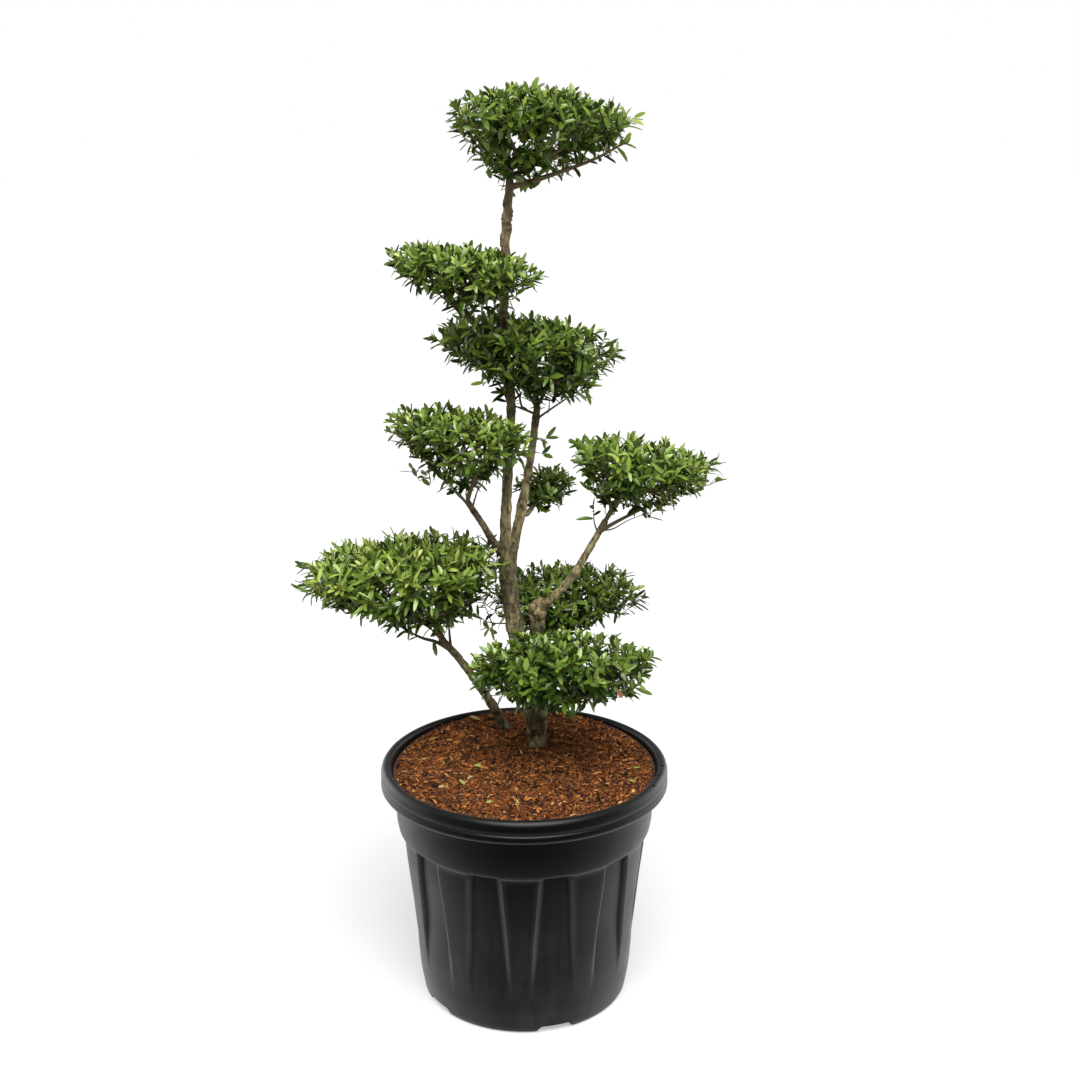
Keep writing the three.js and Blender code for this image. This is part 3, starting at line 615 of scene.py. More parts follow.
# Dark damp clumps in the soil as (x, y, radius)
DAMP_SPOTS = (
    (99, 126, 13), (105, -49, 9), (-150, -98, 10), (-89, 58, 12), (20, -120, 7), (170, -60, 8), (-60, 170, 11)
)
# Fallen leaves that lie on the soil as (x, y, turn in degrees)
FALLEN = (
    (-168, 94, 20), (-84, 170, 160), (-88, -45, 10), (-144, -109, 30), (-100, -113, 110), (-94, -97, 60),
    (203, -20, 190), (75, -11, 130), (190, -80, 150), (-12, -180, 70), (-62, -170, 20),
)
FALLEN_LENGTHS = (13, 22)
FALLEN_WIDTH = 8.5
FALLEN_LIFT = 2.2


def soil_height(x, y):
    """Height of the soil in millimetres: low at the wall, mounded in the middle, higher behind."""
    turn = np.arctan2(x, -y) - math.radians(SOIL_BACK_TURN)
    wall = SOIL_AT_WALL + SOIL_BACK_RISE * np.maximum(0, np.cos(turn)) ** 1.5
    share = np.minimum(1, np.hypot(x, y) / (SOIL_RADIUS + 0.6))
    lumps = np.sin(x / 19 + 1.3 * np.sin(y / 31)) * np.cos(y / 23 + x / 57)
    return SOIL_AT_CENTRE + (wall - SOIL_AT_CENTRE) * share**2 + SOIL_LUMP * lumps * (1 - share**4)


def crumbs(x, y):
    """Small hollows and crumbs on the soil."""
    (broad, high), (small, low) = CRUMBS
    coarse = noise.noise(Vector((x / broad, y / broad, 3.1)))
    fine = noise.noise(Vector((x / small, y / small, 7.7)))
    return high * coarse + low * fine


def soil_material(soil):
    """Dark crumbly ground with damp patches, seen between the chips."""
    material, tree, shader, place = new_material("soil_ground", 0.95)
    clods = effect(tree, grain_group(), place, Scale=130)
    damp = effect(tree, patch_group(), place, Scale=24, Start=0.5, Softness=0.16)
    light = mix_colour(tree, clods["Tone"], soil.colour, times(soil.colour, 2.1))
    colour = mix_colour(tree, damp["Mask"], light, times(soil.colour, 0.45))
    tree.links.new(colour, shader.inputs["Base Color"])
    add_bump(tree, shader, clods["Height"], 0.8, 0.004)
    return material


def build_mound(soil):
    bm = bmesh.new()
    radii = SOIL_RADIUS * np.linspace(0, 1, SOIL_RINGS)
    profile = [(radius, SOIL_AT_WALL) for radius in radii]
    profile += [(SOIL_RADIUS - SOIL_TAPER, SOIL_FLOOR), (0, SOIL_FLOOR)]
    spun(bm, profile, SOIL_COLUMNS)
    for vertex in bm.verts:
        if vertex.co.z > SOIL_FLOOR + 1:
            x, y = vertex.co.x, vertex.co.y
            edge = smoothstep((SOIL_RADIUS - math.hypot(x, y)) / CALM_STRIP)
            vertex.co.z = float(soil_height(x, y)) + crumbs(x, y) * edge - SOIL_SINK
    bmesh.ops.recalc_face_normals(bm, faces=bm.faces)
    mesh = finished(bm, "soil_mound")
    smooth(mesh, 60)
    piece_of("soil_mound", mesh, [soil_material(soil)], ["soil"])


def spots_on_soil(count, random, margin):
    """Random places on the soil, away from the wall by the margin."""
    radius = (SOIL_RADIUS - margin) * np.sqrt(random.random(count))
    turn = 2 * math.pi * random.random(count)
    x, y = radius * np.cos(turn), radius * np.sin(turn)
    z = soil_height(x, y) + np.array([crumbs(*spot) for spot in zip(x, y)]) - SOIL_SINK
    return np.stack([x, y, z], 1)


def turned_frames(random, count, tilt):
    """Random frames whose third axis leans from the vertical by up to about the tilt, in radians."""
    lean = tilt * random.normal(size=(count, 2))
    up = np.stack([lean[:, 0], lean[:, 1], np.ones(count)], 1)
    up /= np.linalg.norm(up, axis=1, keepdims=True)
    turn = 2 * math.pi * random.random(count)
    flat = np.stack([np.cos(turn), np.sin(turn), np.zeros(count)], 1)
    along = flat - up * np.sum(flat * up, 1, keepdims=True)
    along /= np.linalg.norm(along, axis=1, keepdims=True)
    return np.stack([along, np.cross(up, along), up], 1)


def build_chips(soil):
    """Bark chips: flat eight-sided flakes, each a little different."""
    random = np.random.default_rng(11)
    count = soil.chips
    corners = np.array(
        [(1, 0, 0), (0.1, 1, 0), (-1, 0.1, 0), (-0.1, -1, 0), (0.1, 0.1, 1), (-0.1, 0, -1)], float
    )
    faces = np.array([(0, 1, 4), (1, 2, 4), (2, 3, 4), (3, 0, 4), (1, 0, 5), (2, 1, 5), (3, 2, 5), (0, 3, 5)])
    length = np.clip(random.lognormal(math.log(CHIP_LENGTH), CHIP_SPREAD, count), *CHIP_LIMITS)
    spots = spots_on_soil(count, random, 1 + CHIP_MARGIN * length)
    slim = random.uniform(*CHIP_SLIMNESS, count)
    thickness = np.clip(length * CHIP_THICKNESS, *CHIP_THICKNESS_LIMITS)
    size = np.stack([length, length * slim, thickness], 1)
    shape = corners[None] * (1 + 0.35 * (random.random((count, 6, 3)) - 0.5)) * size[:, None]
    frames = turned_frames(random, count, CHIP_TILT)
    spots[:, 2] += random.uniform(*CHIP_LIFTS, count)
    vertices = np.einsum("nvk,nkc->nvc", shape, frames) + spots[:, None]
    triangles = faces[None] + len(corners) * np.arange(count)[:, None, None]
    chosen = random.choice(len(CHIP_TONES), count, p=CHIP_SHARES)
    for x, y, radius in DAMP_SPOTS:
        chosen[np.hypot(spots[:, 0] - x, spots[:, 1] - y) < radius * random.uniform(0.6, 1.2, count)] = 0
    tones = np.repeat(chosen, len(faces))
    mesh = mesh_of("soil_chips", vertices.reshape(-1, 3), triangles.reshape(-1, 3), tones)
    materials = [
        plain_material(f"chip_tone_{index}", tone, 0.85, specular=0.15)
        for index, tone in enumerate(CHIP_TONES)
    ]
    piece_of("soil_chips", mesh, materials)


def build_fibres(soil):
    """Loose fibres: thin bent strands lying on the chips."""
    random = np.random.default_rng(12)
    count = soil.fibres
    spots = spots_on_soil(count, random, FIBRE_MARGIN)
    length = random.uniform(*FIBRE_LENGTHS, count)
    frames = turned_frames(random, count, FIBRE_TILT)
    bend = random.normal(scale=0.16, size=count)
    arch = random.uniform(0.0, 0.12, count)
    shares = np.array([-0.5, -0.17, 0.17, 0.5])
    centre = np.stack(
        [
            length[:, None] * shares,
            length[:, None] * bend[:, None] * (shares**2 * 4 - 0.5),
            FIBRE_LIFT + length[:, None] * arch[:, None] * (1 - 4 * shares**2),
        ],
        2,
    )
    thickness = random.uniform(*FIBRE_RADII, count)
    corners = [(0, math.cos(turn), math.sin(turn)) for turn in (0.5, 2.6, 4.7)]
    ring = np.array(corners)[None, None] * thickness[:, None, None, None]
    taper = np.array([0.4, 1, 1, 0.4])[None, :, None, None]
    vertices = centre[:, :, None] + ring * taper
    vertices = np.einsum("nrvk,nkc->nrvc", vertices, frames) + spots[:, None, None]
    faces = [(0, 2, 1), (9, 10, 11)]
    for row in range(3):
        for side in range(3):
            a, b = 3 * row + side, 3 * row + (side + 1) % 3
            faces += [(a, b, b + 3), (a, b + 3, a + 3)]
    triangles = np.array(faces)[None] + 12 * np.arange(count)[:, None, None]
    tones = np.repeat(random.choice(3, count, p=(0.45, 0.35, 0.2)), len(faces))
    mesh = mesh_of("soil_fibres", vertices.reshape(-1, 3), triangles.reshape(-1, 3), tones)
    materials = [
        plain_material(f"fibre_tone_{index}", tone, 0.8, specular=0.15)
        for index, tone in enumerate(CHIP_TONES[2:5])
    ]
    piece_of("soil_fibres", mesh, materials)


def build_fallen():
    """Single leaves that have dropped on the soil, yellow-green and brown by turns."""
    leaves = LeafHeap()
    random = np.random.default_rng(13)
    for index, (x, y, turn) in enumerate(FALLEN):
        angle = math.radians(turn)
        spot = np.array([x, y, float(soil_height(x, y)) + FALLEN_LIFT])
        way = np.array([math.cos(angle), math.sin(angle), random.uniform(-0.05, 0.2)])
        face = UP + 0.5 * (random.random(3) - 0.5)
        length = random.uniform(*FALLEN_LENGTHS)
        tone = index % 2
        leaves.add(spot, way, face, length, FALLEN_WIDTH, tone, tone)
    materials = [
        plain_material("fallen_leaf", (0.25, 0.27, 0.055), 0.6),
        plain_material("fallen_old", (0.33, 0.23, 0.085), 0.7),
    ]
    piece_of("fallen_leaves", leaves.mesh("fallen_leaves", random), materials)


def build_soil():
    soil = settings("soil")
    build_mound(soil)
    build_chips(soil)
    build_fibres(soil)
    build_fallen()


# Limbs


Limb = namedtuple("Limb", "path girth")
# Control points of each limb's centre line, and its radius at shares of its length
LIMBS = {
    "trunk": Limb(
        [(21, 51, 415), (17, 49, 470), (-1, 46, 568), (-23, 44, 707), (-31, 41, 800), (-26, 37, 957),
         (-21, 39, 1050), (-32, 42, 1180), (-30, 40, 1290), (-22, 40, 1402)],
        [(0, 13.4), (0.02, 12.6), (0.07, 14), (0.2, 15), (0.34, 14.6), (0.39, 9.8), (0.6, 8), (0.8, 7.2),
         (1, 6.8)],
    ),
    "second_stem": Limb(
        [(-25, 45, 752), (-19, 52, 795), (-4, 64, 867), (11, 71, 950), (21, 76, 1026)],
        [(0, 9.5), (0.35, 8.3), (0.43, 9.6), (0.52, 7.4), (1, 6.4)],
    ),
    "right_stem": Limb(
        [(22, 45, 428), (29, 40, 472), (28, 34, 520), (25, 26, 590), (22, 20, 661), (25, 17, 700)],
        [(0, 9), (0.15, 10), (0.5, 12.2), (1, 12)],
    ),
    "bough_right": Limb(
        [(24, 17, 697), (55, 8, 728), (84, 3, 766), (112, 0, 815), (130, 0, 848)],
        [(0, 8.6), (0.3, 7), (1, 5.8)],
    ),
    "bough_mid_left": Limb(
        [(-29, 41, 782), (-46, 32, 806), (-69, 18, 849), (-87, 10, 880)],
        [(0, 7.6), (0.4, 6.2), (1, 5.4)],
    ),
    "bough_mid_rear": Limb([(-6, 63, 858), (4, 86, 850), (14, 112, 856)], [(0, 5.4), (1, 4.2)]),
    "bough_upper_left": Limb(
        [(-30, 42, 1148), (-51, 28, 1168), (-73, 16, 1184), (-91, 8, 1199)],
        [(0, 6.6), (1, 4.8)],
    ),
    "bough_lower_left": Limb(
        [(-27, 124, 415), (-51, 112, 471), (-84, 96, 532), (-118, 80, 589), (-132, 74, 608)],
        [(0, 11.5), (0.12, 9.4), (0.6, 7.6), (1, 6.6)],
    ),
    "bough_lower_rear": Limb(
        [(13, 48, 490), (30, 84, 520), (50, 124, 556), (62, 148, 588)],
        [(0, 8.2), (1, 5.6)],
    ),
    "bough_lower_front": Limb(
        [(17, 37, 518), (26, 4, 528), (36, -22, 538), (43, -42, 552)],
        [(0, 7.2), (1, 5.4)],
    ),
}
BURL_CENTRE = (24, 18, 696)
BURL_RADII = (15.5, 15, 20)
BURL_LUMP = 0.2
ROOT_CENTRE = (23, 32, 441)
ROOT_RADII = (12, 8, 6)
ROOT_LUMP = 0.25
# Knots, scars and collars of each limb as (share of its length, turn round it, radius, height)
KNOTS = {
    "trunk": (
        (0.362, 175, 7, 3.6), (0.352, 10, 8, 4), (0.345, -95, 8, 3), (0.205, -60, 9, 3),
        (0.232, -105, 7, 2.4), (0.135, -80, 8, 2), (0.17, -120, 6, 2), (0.262, -50, 7, 2.4),
        (0.30, -110, 8, 2.4), (0.335, -70, 6, 2), (0.56, -110, 6, 2), (0.66, -40, 6, 1.8),
        (0.80, -100, 7, 3), (0.83, -60, 7, 3.2), (0.87, -130, 7, 3), (0.975, -125, 7, 3),
        (0.943, -85, 9, 2.4), (0.934, -55, 7, 2.2), (0.918, -160, 8, 3.4), (0.96, 5, 6, 3),
        (0.895, -20, 6, 3), (0.955, 175, 6, 3), (0.815, 60, 7, 3), (0.885, 70, 6, 3),
        (0.47, 60, 6, 1.8), (0.24, 90, 8, 2.4), (0.72, 120, 6, 2), (0.024, -95, 11, 5),
        (0.026, -40, 9, 4),
    ),
    "second_stem": ((0.43, -90, 8, 2.2), (0.62, -40, 5, 1.8), (0.2, -100, 6, 1.8)),
    "right_stem": ((0.68, -60, 9, 2.4), (0.84, -110, 7, 2.4)),
    "bough_right": ((0.35, -120, 6, 1.8), (0.7, -60, 5, 1.6)),
    "bough_lower_left": ((0.3, -60, 6, 1.8), (0.75, -100, 6, 1.8)),
    "bough_mid_left": ((0.5, -80, 5, 1.6),),
}
LINE_DIVISIONS = 200
STRETCH_LENGTH = 12
BURL_FROM = 0.75
BURL_SWELLING = 6
BARK_SIDES = 20
BARK_STEP = 7
# How far below a cloud the bark is still in its shade, and the levels where shade is none and full
SHADE_DEPTH = 38
SHADE_LEVELS = (1.38, 0.88)
# Radius of a limb whose bark has its full relief
THICK_LIMB = 15
# Widths of the bark's features: ridges along the limb, fine cracks, broad swellings, rings and warts
RIDGE_WIDTH = 5.5
CRACK_WIDTH = 2.6
SWELLING_WIDTH = 17
RING_WIDTH = 4.5
WART_WIDTH = 4.5
# The foot's ribs: their height, their number, and where they start and are full, above the floor
RIB_HEIGHT = 1.6
RIBS = 6
RIB_LEVELS = (475, 430)
# Colours on the bark: moss, painted shade near the soil, painted light high up, painted shade in and under
# the clouds, and scars
MOSS = (0.12, 0.115, 0.055)
SHADE_NEAR_SOIL_BARK = (0.022, 0.015, 0.006)
LIT_HIGH_BARK = (0.36, 0.25, 0.16)
SHADE_UNDER_CLOUDS_BARK = (0.024, 0.019, 0.010)
SCARRED_BARK = (0.046, 0.022, 0.010)


class Line:
    """The smooth centre line through control points, measured along its length."""

    def __init__(self, path):
        self.points = np.array(path, float)
        self.shares = np.linspace(0, 1, LINE_DIVISIONS + 1)
        spots = np.array([self.spot(share) for share in self.shares])
        steps = np.linalg.norm(np.diff(spots, axis=0), axis=1)
        self.lengths = np.concatenate([[0], np.cumsum(steps)])
        self.length = float(self.lengths[-1])

    def spot(self, share):
        """A point of a centripetal Catmull-Rom curve."""
        points = self.points
        last = len(points) - 1
        place = last * share
        index = min(int(place), last - 1)
        weight = place - index
        before = points[index - 1] if index > 0 else 2 * points[0] - points[1]
        start, end = points[index], points[index + 1]
        after = points[index + 2] if index + 2 <= last else 2 * points[last] - points[last - 1]
        gaps = ((before, start), (start, end), (end, after))
        first, middle, final = (max(1e-4, float(np.sum((b - a) ** 2)) ** 0.25) for a, b in gaps)
        leave = (start - before) / first - (end - before) / (first + middle) + (end - start) / middle
        arrive = (end - start) / middle - (after - start) / (middle + final) + (after - end) / final
        leave, arrive = leave * middle, arrive * middle
        square = -3 * start + 3 * end - 2 * leave - arrive
        cube = 2 * start - 2 * end + leave + arrive
        return start + leave * weight + square * weight**2 + cube * weight**3

    def at(self, share):
        return self.spot(float(np.interp(share * self.length, self.lengths, self.shares)))

    def heading(self, share):
        place = float(np.interp(share * self.length, self.lengths, self.shares))
        way = self.spot(min(1, place + 1e-4)) - self.spot(max(0, place - 1e-4))
        return way / np.linalg.norm(way)


LINES = {name: Line(limb.path) for name, limb in LIMBS.items()}


def radius_of(limb, share):
    """Radius of a limb at a share of its length, in millimetres."""
    return float(np.interp(share, *zip(*limb.girth)))


def unit(vector):
    """The vector's direction, with a length of 1."""
    return vector / np.linalg.norm(vector)


def across(way):
    """A unit vector at right angles to a direction."""
    other = np.array([0.0, -1.0, 0.0]) if abs(way[1]) < 0.9 else np.array([1.0, 0.0, 0.0])
    return unit(np.cross(np.cross(way, other), way))


def ring_frame(spot, way, radius, reference):
    """Matrix that lays a flat unit circle round a line, keeping its turn from ring to ring."""
    side = unit(reference - way * np.dot(reference, way))
    up = np.cross(way, side)
    frame_of_ring = Matrix.Identity(4)
    for row in range(3):
        values = (side[row] * radius, up[row] * radius, way[row], spot[row])
        for column, value in enumerate(values):
            frame_of_ring[row][column] = float(value)
    return frame_of_ring, side


def limb_tube(bm, name):
    """A tapering tube along a limb, from circles bridged one to the next."""
    limb, line = LIMBS[name], LINES[name]
    rows = max(4, round(line.length / BARK_STEP))
    reference = across(line.heading(0))
    rings = []
    for row in range(rows + 1):
        share = row / rows
        matrix, reference = ring_frame(line.at(share), line.heading(share), radius_of(limb, share), reference)
        made = bmesh.ops.create_circle(
            bm, cap_ends=row in (0, rows), segments=BARK_SIDES, radius=1, matrix=matrix
        )["verts"]
        rings.append(list({edge for vertex in made for edge in vertex.link_edges}))
    for first, second in zip(rings, rings[1:]):
        bmesh.ops.bridge_loops(bm, edges=first + second)


def lump(bm, centre, radii, roughness, turn):
    """A knobby ball of callus."""
    ball = bmesh.ops.create_icosphere(bm, subdivisions=4, radius=1)["verts"]
    for vertex in ball:
        way = vertex.co.normalized()
        knob = math.sin(5.3 * way.x + 1 + turn) * math.sin(4.7 * way.y) + math.cos(6.1 * way.z + 2 * way.x)
        warts = noise.noise(way * 4.6 + Vector((turn, 3, 5)))
        size = 1 + roughness * (knob / 2 + 0.9 * warts)
        vertex.co = Vector([centre[axis] + way[axis] * radii[axis] * size for axis in range(3)])


def limb_samples():
    """Places along all limbs for finding the bark's direction and thickness near a point."""
    samples = []
    for name, line in LINES.items():
        count = max(6, round(line.length / 4))
        for index in range(count + 1):
            share = index / count
            way = Vector(line.heading(share))
            samples.append((line.at(share), way, radius_of(LIMBS[name], share)))
    return samples


def shade_of_clouds(spots):
    """How deep places lie within the clouds or just under them, from 0 to 1; one cloud hides no bark."""
    shade = np.zeros(len(spots))
    for cloud in CLOUDS:
        if cloud.name == "upper_left":
            continue
        for lift in (0, SHADE_DEPTH):
            level = level_in(cloud, spots + lift * UP)
            deep = (SHADE_LEVELS[0] - level) / (SHADE_LEVELS[0] - SHADE_LEVELS[1])
            shade = np.maximum(shade, np.clip(deep, 0, 1))
    return shade * shade * (3 - 2 * shade)


def knot_places():
    """Where the knots stand on the limbs, with their radii and heights."""
    places = []
    for name, rows in KNOTS.items():
        limb, line = LIMBS[name], LINES[name]
        for share, turn, width, height in rows:
            way = line.heading(share)
            side = across(way)
            angle = math.radians(turn + 90)
            out = side * math.cos(angle) + np.cross(way, side) * math.sin(angle)
            places.append((Vector(line.at(share) + out * radius_of(limb, share)), width, height))
    return places


def sample_finder(samples):
    """A tree that finds the sample of the limbs nearest to a place."""
    tree = kdtree.KDTree(len(samples))
    for index, (spot, _, _) in enumerate(samples):
        tree.insert(Vector(spot), index)
    tree.balance()
    return tree


def bark_ridges(spot, way, crack):
    """Height of the ridges that run along a limb and of the rings across it, in shares of the relief."""
    along = spot.dot(way)
    squeezed = spot - way * (along * 0.8)
    ridge = 1 - abs(noise.noise(squeezed / RIDGE_WIDTH))
    broad = noise.noise(spot / SWELLING_WIDTH)
    ring = 1 - abs(noise.noise(Vector((0, 0, along / RING_WIDTH)) + squeezed / 60))
    return 1.1 * (ridge - 0.75) + 0.35 * crack + 0.9 * broad + 0.5 * (ring - 0.8)


def add_relief(mesh, relief):
    """Raises the bark into ridges, with knots, a warty burl and a ribbed foot, and marks what is healed."""
    samples = limb_samples()
    finder = sample_finder(samples)
    knots = knot_places()
    burl, root = Vector(BURL_CENTRE), Vector(ROOT_CENTRE)
    count = len(mesh.vertices)
    places, normals = np.zeros(3 * count), np.zeros(3 * count)
    mesh.vertices.foreach_get("co", places)
    mesh.vertex_normals.foreach_get("vector", normals)
    places, normals = places.reshape(-1, 3), normals.reshape(-1, 3)
    rises, scars, callus = np.zeros(count), np.zeros(count), np.zeros(count)
    for row in range(count):
        spot = Vector(places[row]) / MM
        centre, way, radius = samples[finder.find(spot)[1]]
        crack = noise.noise(spot / CRACK_WIDTH)
        share = min(1.0, radius / THICK_LIMB)
        rise = relief * share * bark_ridges(spot, way, crack)
        near_burl = smoothstep(1.6 - (spot - burl).length / 18)
        warts = noise.noise(spot / WART_WIDTH)
        rise += near_burl * (2.6 * warts + 3 * noise.noise(spot / 9))
        # The scar mark also darkens the burl's deepest hollows, between its warts
        scars[row] = near_burl * smoothstep(-4 * warts - 0.7)
        near_root = smoothstep(1.5 - (spot - root).length / 14) * (spot.y < 40)
        callus[row] = max(smoothstep(2.1 - (spot - burl).length / 17) * (spot.x < 36), near_root)
        for place, width, height in knots:
            distance = (spot - place).length * (1 + 0.5 * crack) + 2.5 * noise.noise(spot / 5)
            if distance < 1.6 * width:
                bulge = smoothstep(1.1 - distance / (1.6 * width))
                rise += height * (bulge - 0.9 * smoothstep(1 - distance / (0.55 * width)))
                scars[row] = max(scars[row], smoothstep(1.2 - distance / (0.8 * width)) * (height < 4))
        if spot.z < RIB_LEVELS[0]:
            turn = math.atan2(spot.y - centre[1], spot.x - centre[0])
            ribbed = smoothstep((RIB_LEVELS[0] - spot.z) / (RIB_LEVELS[0] - RIB_LEVELS[1]))
            rise += RIB_HEIGHT * ribbed * math.sin(RIBS * turn + 1.7) * share
        rises[row] = rise
    places += normals * (rises * MM)[:, None]
    mesh.vertices.foreach_set("co", places.ravel())
    shade = shade_of_clouds(places / MM)
    for name, values in (("scar", scars), ("callus", callus), ("shade", shade)):
        mesh.attributes.new(name, "FLOAT", "POINT").data.foreach_set("value", values)
    mesh.update()


def bark_material(bark):
    """Fissured bark: streaks, pale lichen, old dark patches, moss, painted shade near the soil and in and
    under the clouds, painted light high up, scars and callus.
    """
    material, tree, shader, place = new_material("bark", 0.85)
    shader.inputs["Specular IOR Level"].default_value = 0.2
    ridges = effect(tree, grain_group(), place, Stretch=(1, 1, 0.3), Scale=190, Detail=8)
    fine = effect(tree, grain_group(), place, Scale=620, Detail=3)
    streaks = effect(tree, grain_group(), place, Stretch=(1, 1, 0.45), Scale=120, Detail=4)
    lichen, old, green = (
        effect(tree, patch_group(), place, Scale=scale, Start=start, Softness=softness)["Mask"]
        for scale, start, softness in ((48, 0.52, 0.1), (30, 0.52, 0.1), (11, 0.5, 0.2))
    )
    furrow = worked(tree, "MULTIPLY_ADD", ridges["Tone"], 0.88, 0.12)
    streaked = worked(tree, "MULTIPLY_ADD", streaks["Tone"], -0.66, 0.66)
    cracks = mix_colour(tree, streaked, mix_colour(tree, furrow, bark.dark, bark.colour), bark.dark)
    light = mix_colour(tree, worked(tree, "MULTIPLY", fine["Tone"], furrow), cracks, times(bark.colour, 1.35))
    pale = mix_colour(tree, worked(tree, "MULTIPLY", lichen, furrow), light, times(bark.colour, 1.6))
    aged = mix_colour(tree, worked(tree, "MULTIPLY", old, 0.8), pale, bark.dark)
    mossy = mix_colour(tree, worked(tree, "MULTIPLY", green, 0.4), aged, MOSS)
    level = add_node(tree, "ShaderNodeSeparateXYZ", {0: place}).outputs["Z"]
    # Painted shade: the bark darkens towards the soil
    damp = mix_colour(tree, ranged(tree, level, 0.8, 0.43, 0, 0.62), mossy, SHADE_NEAR_SOIL_BARK)
    # Painted light: the bark lightens high up
    lit_high = mix_colour(tree, ranged(tree, level, 1.2, 1.34, 0, 0.3), damp, LIT_HIGH_BARK)
    shade, callus, scar = (
        worked(tree, "MULTIPLY", attribute(tree, name), strength)
        for name, strength in (("shade", 0.66), ("callus", 0.8), ("scar", 0.85))
    )
    # Painted shade darkens the bark in and under the clouds; callus lightens it
    knobby = mix_colour(tree, callus, mix_colour(tree, shade, lit_high, SHADE_UNDER_CLOUDS_BARK), light)
    colour = mix_colour(tree, scar, knobby, SCARRED_BARK)
    tree.links.new(colour, shader.inputs["Base Color"])
    add_bump(tree, shader, ridges["Height"], 1.0, 0.004)
    return material


def build_bark():
    bark = settings("bark")
    bm = bmesh.new()
    for name in LIMBS:
        limb_tube(bm, name)
    lump(bm, BURL_CENTRE, BURL_RADII, BURL_LUMP, 0)
    lump(bm, ROOT_CENTRE, ROOT_RADII, ROOT_LUMP, 2)
    mesh = finished(bm, "bark")
    piece = piece_of("bark", mesh, [bark_material(bark)], list(LIMBS))
    skin = piece.modifiers.new("skin", "REMESH")
    skin.mode = "VOXEL"
    skin.voxel_size = bark.fineness
    skin.adaptivity = 0
    soften = piece.modifiers.new("soften", "SMOOTH")
    soften.factor = 0.5
    soften.iterations = 3
    mesh = applied(piece)
    add_relief(mesh, bark.relief / MM)
    smooth(mesh, 180)


# Clouds of foliage


# Each cloud: the limb that carries it, its seed, the middle of its widest ring and the ring's half width
# and half depth, the rise of its dome and the drop of its underside, the ring's slope along X, the
# exponent of the underside, the number of sprays, the length and width of a leaf, and the age of its
# leaves, which darkens their tones above 0 and freshens them below
Cloud = namedtuple("Cloud", "name bough seed centre half rise drop lean under sprays leaf age")
CLOUDS = (
    Cloud("top", "trunk", 3, (27, 40, 1512), (149, 118),
          51, 122, 0.02, 1.35, 7, (27, 10), 0.02),
    Cloud("upper_left", "bough_upper_left", 14, (-96, -12, 1288), (127, 100),
          33, 96, -0.08, 1.25, 6, (27, 8.6), -0.02),
    Cloud("upper_centre", "second_stem", 25, (10, 82, 1140), (159, 122),
          57, 118, -0.1, 1.4, 8, (29, 8.8), 0.13),
    Cloud("mid_left", "bough_mid_left", 36, (-102, -14, 1020), (131, 104),
          39, 140, -0.1, 1.3, 7, (27, 8.6), 0.04),
    Cloud("mid_rear", "bough_mid_rear", 47, (38, 152, 884), (60, 60),
          38, 48, 0.03, 1.7, 4, (27, 9.5), 0.12),
    Cloud("right", "bough_right", 58, (202, -2, 965), (129, 102),
          39, 122, -0.13, 1.25, 7, (28, 8.8), -0.02),
    Cloud("lower_left", "bough_lower_left", 69, (-214, 22, 762), (181, 136),
          73, 122, 0.09, 1.9, 9, (32, 8.6), -0.1),
    Cloud("lower_rear", "bough_lower_rear", 83, (68, 192, 668), (149, 106),
          66, 84, 0.03, 1.8, 7, (27, 8.6), 0.02),
    Cloud("lower_front", "bough_lower_front", 91, (62, -72, 628), (170, 110),
          59, 88, 0.03, 1.8, 8, (27, 10), 0.22),
)

GAP = 0.3
STEM_LENGTH = 14
# How far a cloud's stem runs back into its bough
STEM_SUNK = 8
ARMS = 4
ARM_RING = 0.55
ARM_LEVEL = 0.62
SPRAY_LEVEL = 0.8
RIM_RINGS = (0.84, 0.96)
UNDER_RINGS = (0.55, 0.95)
DOME_POWER = 2.4
WOBBLE = 0.05
JITTER = 7
TWIG_STEP = 55
TWIG_SAG = 0.1
TWIG_LEAD = 0.12
REACH_COST = 0.25
TURN_COST = 0.5
TWIG_CLEARANCE = 4.5
TWIG_REACH = 1.02
SPACE_FLOOR = 0.9
SPACE_MARGIN = 0.06

# Finer growth: the shoots that carry the leaves
FINE_STEP = 13
SHOOT_LENGTH = 34
SHOOT_STEP = 11
LEAF_STAND = 17
# The leaves start further out on a long shoot, by a length between these
LONG_STANDS = (8, 18)
# Chance that a leaf place is filled on the dome and elsewhere
DOME_FILL = 0.96
SHELTERED_FILL = 0.84
# Spread of a leaf's length and width round the usual ones
LENGTH_SPREAD = 0.17
WIDTH_SPREAD = 0.1
BELOW_SHARE = 0.24
INNER_SHARE = 0.28
LONG_SHARE = 0.18
RIPPLE = 0.26
RIPPLE_LENGTH = 30
GAP_BELOW = -0.22
LEAFY_POWER = 1.95
# Each cloud's leafy cover: share of the dome's height, slope, sag of the underside and its bare share
# next to the stem
COVER = {
    "top": (1, -0.1, 20, 0.16),
    "upper_left": (1.04, -0.03, 5, 0.34),
    "mid_left": (0.93, 0, 5, 0.34),
    "right": (0.93, -0.05, 6, 0.2),
    "lower_left": (0.8, 0, -7, 0.24),
    "lower_rear": (0.88, 0, 5, 0.26),
    "lower_front": (1, 0, 17, 0.12),
}
USUAL_COVER = (1, 0, 5, 0.34)
LEAF_REACH = 1.15
TIP_RADIUS = 0.75
GIRTH_POWER = 0.42
